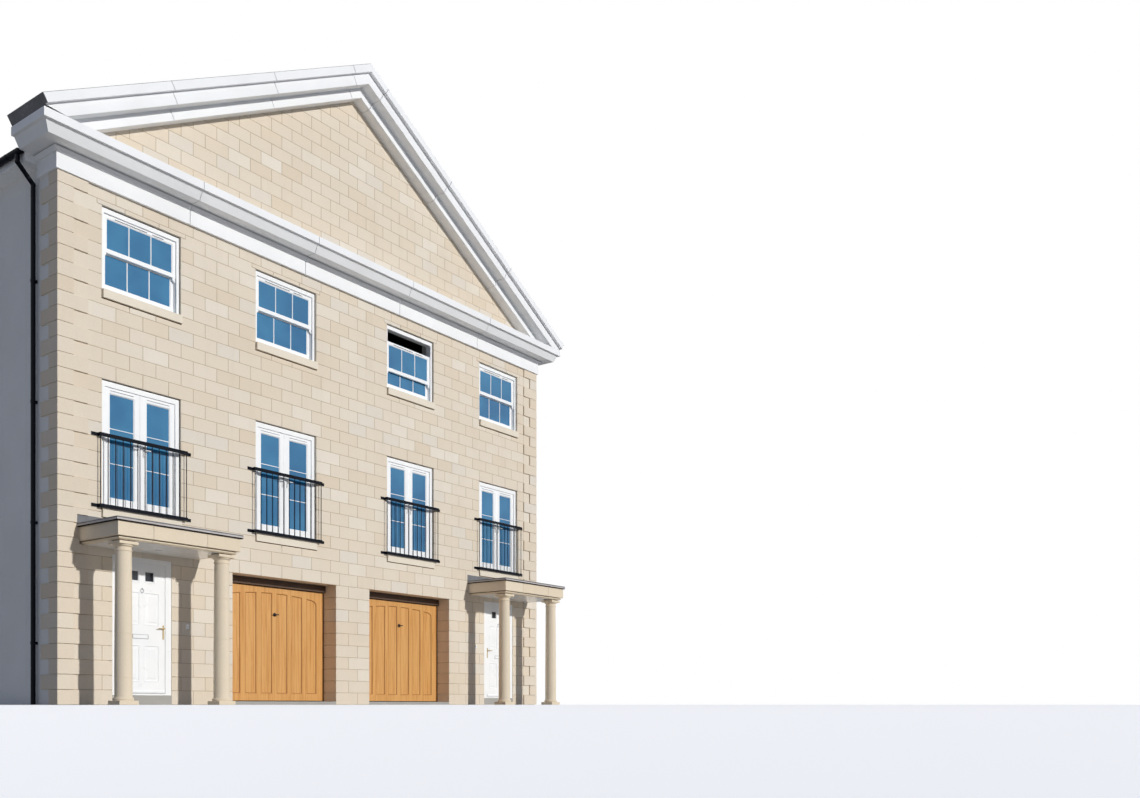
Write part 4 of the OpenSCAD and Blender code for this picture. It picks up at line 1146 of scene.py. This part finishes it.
def bar(shell, middle, ends, y0, y1, width, place, level=False):
    """A bar narrowed to a flat at both faces, upright or level."""
    half = width / 2
    flat = 0.004
    slope = 0.006
    profile = [(-half, y0 + slope), (-flat, y0), (flat, y0), (half, y0 + slope),
               (half, y1 - slope), (flat, y1), (-flat, y1), (-half, y1 - slope)]
    loft(shell, [[place(end, middle + a, y) if level else place(middle + a, end, y) for a, y in profile]
                 for end in ends])


def beads(shell, x0, x1, z0, z1, glass_in, place):
    """Sloping glazing bead between a frame and its glass."""
    profile = [(-0.001, 0.004), (0.004, 0.006), (0.013, glass_in - 0.001), (0.013, glass_in + 0.004),
               (-0.001, glass_in + 0.004)]
    surround(shell, x0, x1, z0, z1, profile, place)


def sash_details():
    shell, seals, slots, metal = Shell(), Shell(), Shell(), Shell()
    half_w = WINDOW_W / 2 - 0.055
    half_light = half_w - 0.056
    glass_in = 0.0125
    bar_w = 0.019
    head = 0.08
    rail = 0.058
    base_rail = 0.09
    foot = 0.036
    sash_faces = (0.004, 0.041)
    vents = ((-0.425, 0.114), (0.209, 0.403))
    joint = 0.003
    slot_h = 0.009
    horn = [(0.054, 0.0), (0.054, -0.02), (0.05, -0.034), (0.04, -0.046), (0.028, -0.054), (0.018, -0.066),
            (0.0, -0.07), (0.0, 0.0)]
    hood = [(0.0, 0.001), (-0.002, -0.009), (0.005, -0.011), (0.013, -0.004), (0.014, 0.001)]
    nose = [(0.0, 0.046), (0.0, 0.022), (0.016, 0.02), (0.026, 0.028), (0.03, 0.046)]
    fastener = ((-0.028, 0), (0.028, 0), (0.02, 0.01), (-0.02, 0.01))
    for x, z, head_z, drop, place in window_places():
        upper = deeper(place, UPPER_SASH_Y)
        lower = deeper(place, LOWER_SASH_Y)
        top = head_z - head
        middle = (z + foot + top) / 2 - 0.01
        under = middle - drop
        lights = ((under + rail, top - drop - rail, upper), (z + foot + base_rail, middle, lower))
        for z0, z1, face in lights:
            beads(shell, x - half_light, x + half_light, z0, z1, glass_in, face)
            for n in SIDES:
                bar(shell, x + n * half_light / 3, (z0, z1), *sash_faces, bar_w, face)
        # Slots and hoods of the vents in the upper sash's top rail; each slot is a dark strip, painted
        # shade
        vent_z = top - drop - rail + 0.014
        for a, b in vents:
            box_on(slots, x + a, x + b, vent_z, vent_z + slot_h, -0.001, upper)
            level_run(shell, (x + a - 0.004, x + b + 0.004), vent_z + slot_h, hood, upper)
        for n in SIDES:
            outline = [(x + n * (half_w - u), under + v) for u, v in horn]
            prism(shell, outline, [(0, face_y) for face_y in sash_faces], upper)
        level_run(shell, (x - WINDOW_W / 2 + 0.001, x + WINDOW_W / 2 - 0.001), z, nose, place)
        # Dark joints between the frame and the upper sash
        for a in (x - half_w, x + half_w - joint):
            box_on(seals, a, a + joint, z + foot, top, -0.0006, upper)
        box_on(seals, x - half_w, x + half_w, top - drop - joint, top - drop, -0.0006, upper)
        # Fastener on the meeting rails
        outline = [(x + u, middle + rail + v) for u, v in fastener]
        prism(metal, outline, [(0, 0.005), (0, 0.035)], lower)
    make_piece("sash_bars_and_beads", shell, (window_white,))
    make_piece("sash_seals", seals, (seal_rubber,))
    make_piece("sash_vent_slots", slots, (painted_shadow_dark,))
    make_piece("sash_fasteners", metal, (chrome,))


def french_details():
    shell, seals, metal = Shell(), Shell(), Shell()
    leaf_w = WINDOW_W / 2 - 0.075
    head = 0.09
    top_rail = 0.088
    foot_rail = 0.161
    joint = 0.003
    glass_in = 0.0175
    light_near = 0.1035
    light_far = 0.516
    half_stile = 0.05
    grip_up = 1.0
    slot_h = 0.007
    half_slot = 0.195
    half_hood = 0.2
    hood = [(0.0, 0.001), (-0.002, -0.006), (0.006, -0.009), (0.012, -0.004), (0.012, 0.001)]
    # Half width, foot, head and both faces of the handles' back plate and neck, and the lever's profile
    back_plate = (0.013, -0.11, 0.05, 0, -0.008)
    neck = (0.008, -0.008, 0.008, -0.007, -0.042)
    lever = rectangle(-0.008, 0.008, -0.05, -0.038)
    places = [(x, FRENCH_BASE_Z + FRENCH_SILL_H, FIRST_HEAD_Z, front) for x in BAYS]
    places += [(x, GROUND_FLOOR_Z, DOOR_HEAD_Z, rear) for x in GARAGE_BAYS]
    for x, z, head_z, place in places:
        leaf = deeper(place, FRENCH_LEAF_Y)
        top = head_z - head
        low = z + foot_rail
        high = top - top_rail
        for n in SIDES:
            x0, x1 = span(x, n, light_near, light_far)
            beads(shell, x0, x1, low, high, glass_in, leaf)
            for share in (1 / 3, 2 / 3):
                z_bar = low + (high - low) * share
                bar(shell, z_bar, (x0, x1), glass_in - 0.005, 0.0425, 0.016, leaf, level=True)
            # Dark joints round the leaf, and the slot and hood of the vent in its top rail
            box_on(seals, *span(x, n, leaf_w, leaf_w - joint), z + 0.03, top, -0.0006, leaf)
            box_on(seals, *span(x, n, 0, leaf_w), top - joint, top, -0.0006, leaf)
            middle = (x0 + x1) / 2
            hood_z = high + 0.044
            box_on(seals, middle - half_slot, middle + half_slot, hood_z - slot_h, hood_z, -0.0012, leaf)
            level_run(shell, (middle - half_hood, middle + half_hood), hood_z, hood, leaf)
        # Cover strip over the meeting stiles
        bar(shell, x, (z + 0.04, top - 0.01), -0.009, 0.004, 0.036, leaf)
        # Lever handles
        grip = z + grip_up
        for n in SIDES:
            a = x + n * half_stile
            for u, v0, v1, y0, y1 in (back_plate, neck):
                prism(metal, rectangle(a - u, a + u, grip + v0, grip + v1), [(0, y0), (0, y1)], leaf)
            level_run(metal, (a - n * 0.009, a + n * 0.1), grip, lever, leaf)
    make_piece("french_door_bars_and_beads", shell, (window_white,))
    make_piece("french_door_seals", seals, (seal_rubber,))
    make_piece("french_door_handles", metal, (chrome,))


# Mastic joints between the stone and the frames on the front, dark as painted shade of the reveals, and
# open joints round the sills, widened as painted shadow below and beside them
def mastic_and_shade_joints():
    shell = Shell()
    sill_gaps_and_shadow = Shell()
    bead = 0.009
    head_bead = 0.01
    mastic_y = FRAME_Y - 0.0035
    open_y = -0.002
    for x0, x1, z0, z1 in WINDOWS:
        low = z0 + (SILL_H if z0 == SASH_BASE_Z else FRENCH_SILL_H)
        box_on(shell, x0, x0 + bead, low, z1, mastic_y, front)
        box_on(shell, x1 - bead, x1, low, z1, mastic_y, front)
        box_on(shell, x0 + bead, x1 - bead, z1 - head_bead, z1, mastic_y, front)
        box_on(sill_gaps_and_shadow, x0 - 0.008, x1 + 0.008, z0 - 0.013, z0 + 0.001, open_y, front)
        for x in (x0 - 0.003, x1 + 0.003):
            box_on(sill_gaps_and_shadow, x - 0.005, x + 0.005, z0 + 0.001, low - 0.004, open_y, front)
    make_piece("sill_joints_and_painted_shadow", sill_gaps_and_shadow, (shade_seam,))
    make_piece("mastic_and_shade_joints", shell, (dark_mastic_shade,))


# Front doors: mouldings, light frames and fittings
def door_details(side):
    shell, metal, silver, dark = Shell(), Shell(), Shell(), Shell()
    half_w = (DOOR_W - 0.193) / 2
    leaf_z = GROUND_FLOOR_Z + 0.0315
    half_muntin = 0.035
    light_near = 0.055
    light_far = 0.212
    stile = 0.11
    margin = 0.045
    panels = ((1.25, 1.77), (leaf_z + 0.18, 0.94))
    lever_x = 0.37
    lever_z = 1.215
    key_z = lever_z - 0.1
    grip = -0.046
    boss_z = 1.822
    ring_z = 1.79
    strike_z = 1.758
    flap = (-0.151, 0.101, 1.044, 1.096)
    panel_mould = [(-0.002, 0.001), (0.003, -0.003), (0.01, -0.004), (0.02, 0.004), (0.02, 0.008),
                   (-0.002, 0.008)]
    light_frame = [(-0.022, 0.001), (-0.02, -0.005), (-0.006, -0.007), (0.006, 0.004), (0.008, 0.012),
                   (-0.022, 0.004)]
    flap_frame = [(0.0, 0.001), (0.0, -0.004), (0.0045, -0.005), (0.006, -0.002), (0.006, 0.001)]
    weather_bar = [(0.012, 0.001), (0.012, -0.012), (0.03, -0.012), (0.05, -0.004), (0.056, 0.001)]
    name = SIDES[side]
    body = f"front_door_{name}"

    def place(x, z, depth):
        return (side * (OUTER_BAY - x), FRONT_Y + DOOR_LEAF_Y + depth, z)

    for z0, z1 in panels:
        for n in SIDES:
            x0, x1 = span(0, n, half_muntin, half_w - stile)
            surround(shell, x0, x1, z0, z1, panel_mould, place)
            field = rectangle(x0 + margin, x1 - margin, z0 + margin, z1 - margin)
            prism(shell, field, [(0.02, 0), (0.0, 0.0055), (0.0, 0.008)], place)
    for n in SIDES:
        surround(shell, *span(0, n, light_near, light_far), 1.94, 2.097, light_frame, place)
    level_run(shell, (0.03 - half_w, half_w - 0.03), leaf_z, weather_bar, place)
    # Lever on its back plate
    plate = rectangle(lever_x - 0.013, lever_x + 0.013, lever_z - 0.17, lever_z + 0.05)
    prism(metal, plate, [(0.003, -0.008), (0.0, -0.005), (0.0, 0)], place)
    peg(metal, lever_x, lever_z, -0.006, grip, 0.009, place)
    rod(metal, place(lever_x + 0.009, lever_z, grip), place(0.25, lever_z - 0.002, grip),
        ((0, 0.0085), (0.1, 0.01), (0.5, 0.0078), (0.9, 0.007), (1, 0.005)))
    peg(metal, lever_x, key_z, -0.007, -0.0115, 0.009, place)
    # Knocker: boss, ring and strike
    boss = ((0, 0.015), (0.5, 0.014), (0.9, 0.009), (1, 0.005))
    peg(silver, 0, boss_z, 0.001, -0.016, boss, place, 20)
    ring = []
    turns = [k * math.pi / 4 for k in range(8)]
    for n in range(24):
        angle = 2 * math.pi * n / 24
        out_x = 0.026 * math.sin(angle)
        out_z = 0.032 * math.cos(angle)
        ring.append([place(out_x * (1 + 0.13 * math.cos(t)), ring_z + out_z * (1 + 0.13 * math.cos(t)),
                           0.0038 * math.sin(t) - 0.011) for t in turns])
    loft(silver, ring, closed=True)
    peg(dark, 0, strike_z, 0.001, -0.008, 0.008, place)
    # Letter plate: a white flap in a thin grey frame
    surround(dark, *grown(flap, 0.009), flap_frame, place)
    prism(shell, rectangle(*flap), [(0.003, -0.006), (0.0, -0.004), (0.0, 0.001)], place)
    make_piece(f"door_mouldings_{name}", shell, (window_white,), body)
    make_piece(f"door_lever_{name}", metal, (brass,), body, (f"front_door_fittings_{name}",), True)
    make_piece(f"door_knocker_{name}", silver, (chrome,), body, smooth=True)
    make_piece(f"letter_plate_edge_{name}", dark, (grey_line,), body)


# Bell pushes beside the front doors
def bell_pushes():
    shell = Shell()
    button = Shell()
    bell_x = 3.6
    half = 0.024
    button_z = 1.28
    for side in SIDES:
        x = side * bell_x
        plate = rectangle(x - half, x + half, 1.235, 1.31)
        prism(shell, plate, [(0.004, -0.014), (0.0, -0.01), (0.0, 0.004)], front)
        peg(button, x, button_z, -0.013, -0.018, 0.009, front, 20)
    make_piece("bell_plates", shell, (window_white,))
    make_piece("bell_buttons", button, (chrome,), smooth=True)


# Garage doors: beads round the sunk panels, a darker line inside each bead that paints the shade of its
# groove, and the handle
def garage_details(side):
    shell = Shell()
    metal = Shell()
    pitch = 0.342
    width = 0.248
    reach = 2.5 * pitch + width / 2
    top = 2.025
    arch_rise = 0.075
    foot = 0.195
    round_r = 0.085
    handle_z = 1.63
    grip = -0.05
    bead = ((-0.006, 0.001), (-0.004, -0.0035), (0.006, -0.0035), (0.013, 0.006), (0.013, 0.0115),
            (-0.006, 0.0115))
    line = ((0.012, 0.0085), (0.021, 0.0108), (0.021, 0.0118), (0.012, 0.0118))
    name = SIDES[side]
    body = f"garage_door_{name}"

    def head(x):
        return top - arch_rise * (x / reach) ** 2

    def place(x, z, depth):
        return (side * INNER_BAY + x, FRONT_Y + GARAGE_LEAF_Y + depth, z)

    for i in (1, 2, 3):
        for n in SIDES:
            x0 = (i - 0.5) * pitch - width / 2
            x1 = x0 + width
            shoulder = round_r if i == 3 else 0.0
            xs = [x0 + (x1 - shoulder - x0) * t / 4 for t in range(5)]
            path = [(x1, foot), (x0, foot)] + [(x, head(x)) for x in xs]
            if shoulder:
                path += arc(x1 - shoulder, head(x1) - shoulder, shoulder, shoulder, 75, 0, 5)
            path = [(x * n, z) for x, z in path]
            if area(path) < 0:
                path.reverse()
            prism(shell, path, bead, place, closed=True)
            prism(shell, path, line, place, kind=1, closed=True)
    rose = ((0, 0.034), (0.6, 0.034), (1, 0.026))
    peg(metal, 0, handle_z, 0.001, -0.014, rose, place, 28)
    peg(metal, 0, handle_z, -0.012, grip, 0.009, place)
    rod(metal, place(-0.06, handle_z, grip), place(0.06, handle_z, grip),
        ((0, 0.006), (0.05, 0.0095), (0.5, 0.0085), (0.95, 0.0095), (1, 0.006)))
    make_piece(f"garage_panel_beads_{name}", shell, (oak, oak_groove_shade), body)
    make_piece(f"garage_turn_handle_{name}", metal, (dark_iron,), body,
               (f"garage_handle_{name}",), True)


front_wall_core()
ashlar("ground_floor_ashlar", 0, 12 * COURSE)
ashlar("first_floor_ashlar", 12 * COURSE, 24 * COURSE)
ashlar("second_floor_ashlar", 24 * COURSE, ARCHITRAVE_Z, BAYS)
pediment_ashlar()
corner_stones()
rendered_returns()
rear_wall()
cornice()
raking_cornice()
roof_slope(-1)
roof_slope(1)
ridge()
eaves_fittings()
columns()
canopies()
lead_roofs()
soffit_lights()
sash_details()
french_details()
mastic_and_shade_joints()
door_details(-1)
door_details(1)
bell_pushes()
garage_details(-1)
garage_details(1)


# Light, floor and camera
def add_sun(name, energy, angle, colour, direction):
    sun = bpy.data.lights.new(name, "SUN")
    sun.energy = energy
    sun.angle = math.radians(angle)
    sun.color = colour
    add_object(name, sun).rotation_euler = Vector(direction).to_track_quat("-Z", "Y").to_euler()


scene = bpy.context.scene
scene.view_settings.view_transform = "Standard"

# The sky lights the object softly, and is white where it is seen
scene.world = bpy.data.worlds.new("studio")
sky = Graph(scene.world)
path = sky.add("ShaderNodeLightPath").outputs
seen = sky.math("MAXIMUM", path["Is Camera Ray"], path["Is Glossy Ray"])
seen = sky.math("MAXIMUM", seen, path["Is Transmission Ray"])
dim = sky.add("ShaderNodeBackground", (196, 216, 255), 0.26)
white = sky.add("ShaderNodeBackground", (255, 255, 255), 1.0)
either = sky.add("ShaderNodeMixShader", seen, dim.outputs[0], white.outputs[0])
sky.add("ShaderNodeOutputWorld", either.outputs[0])

add_sun("sun", 2.55, 1.6, (1.0, 0.983, 0.95), (-0.11, 1.0, -0.35))
# Soft fill for the rear, which the sun doesn't reach
add_sun("rear_fill", 0.95, 30, (0.95, 0.97, 1.0), (-0.4, -1.0, -0.45))

# The floor is paler to the camera than to the light that it throws back
ground_mesh = bpy.data.meshes.new("pale_floor")
floor_radius = 160
corners = 96
ground_mesh.from_pydata(turned(0, 0, [(floor_radius, -0.002)], corners)[0], [], [list(range(corners))])
ground_object = add_object("pale_floor", ground_mesh)
floor = Finish("pale_floor", 0.9)
sees = floor.add("ShaderNodeLightPath").outputs["Is Camera Ray"]
pale = floor.mix(floor.noise(0.4, 3), (226, 226, 226), (236, 236, 236))
floor.colour(floor.mix(sees, (168, 166, 162), pale))
glow = floor.add("ShaderNodeEmission", (255, 255, 255), floor.math("MULTIPLY", sees, 0.38))
both = floor.add("ShaderNodeAddShader", floor.shader.outputs[0], glow.outputs[0])
floor.put(floor.output, 0, both.outputs[0])
ground_mesh.materials.append(floor.material)

camera = bpy.data.cameras.new("camera")
camera.lens = 32.53
camera.sensor_width = 36
camera.shift_y = 0.268
camera.clip_start = 0.001
camera.clip_end = 500
scene.camera = add_object("camera", camera)
scene.camera.location = (-13.668, -19.553, 0.004)
scene.camera.rotation_euler = (math.radians(90), 0, math.radians(-54.56))
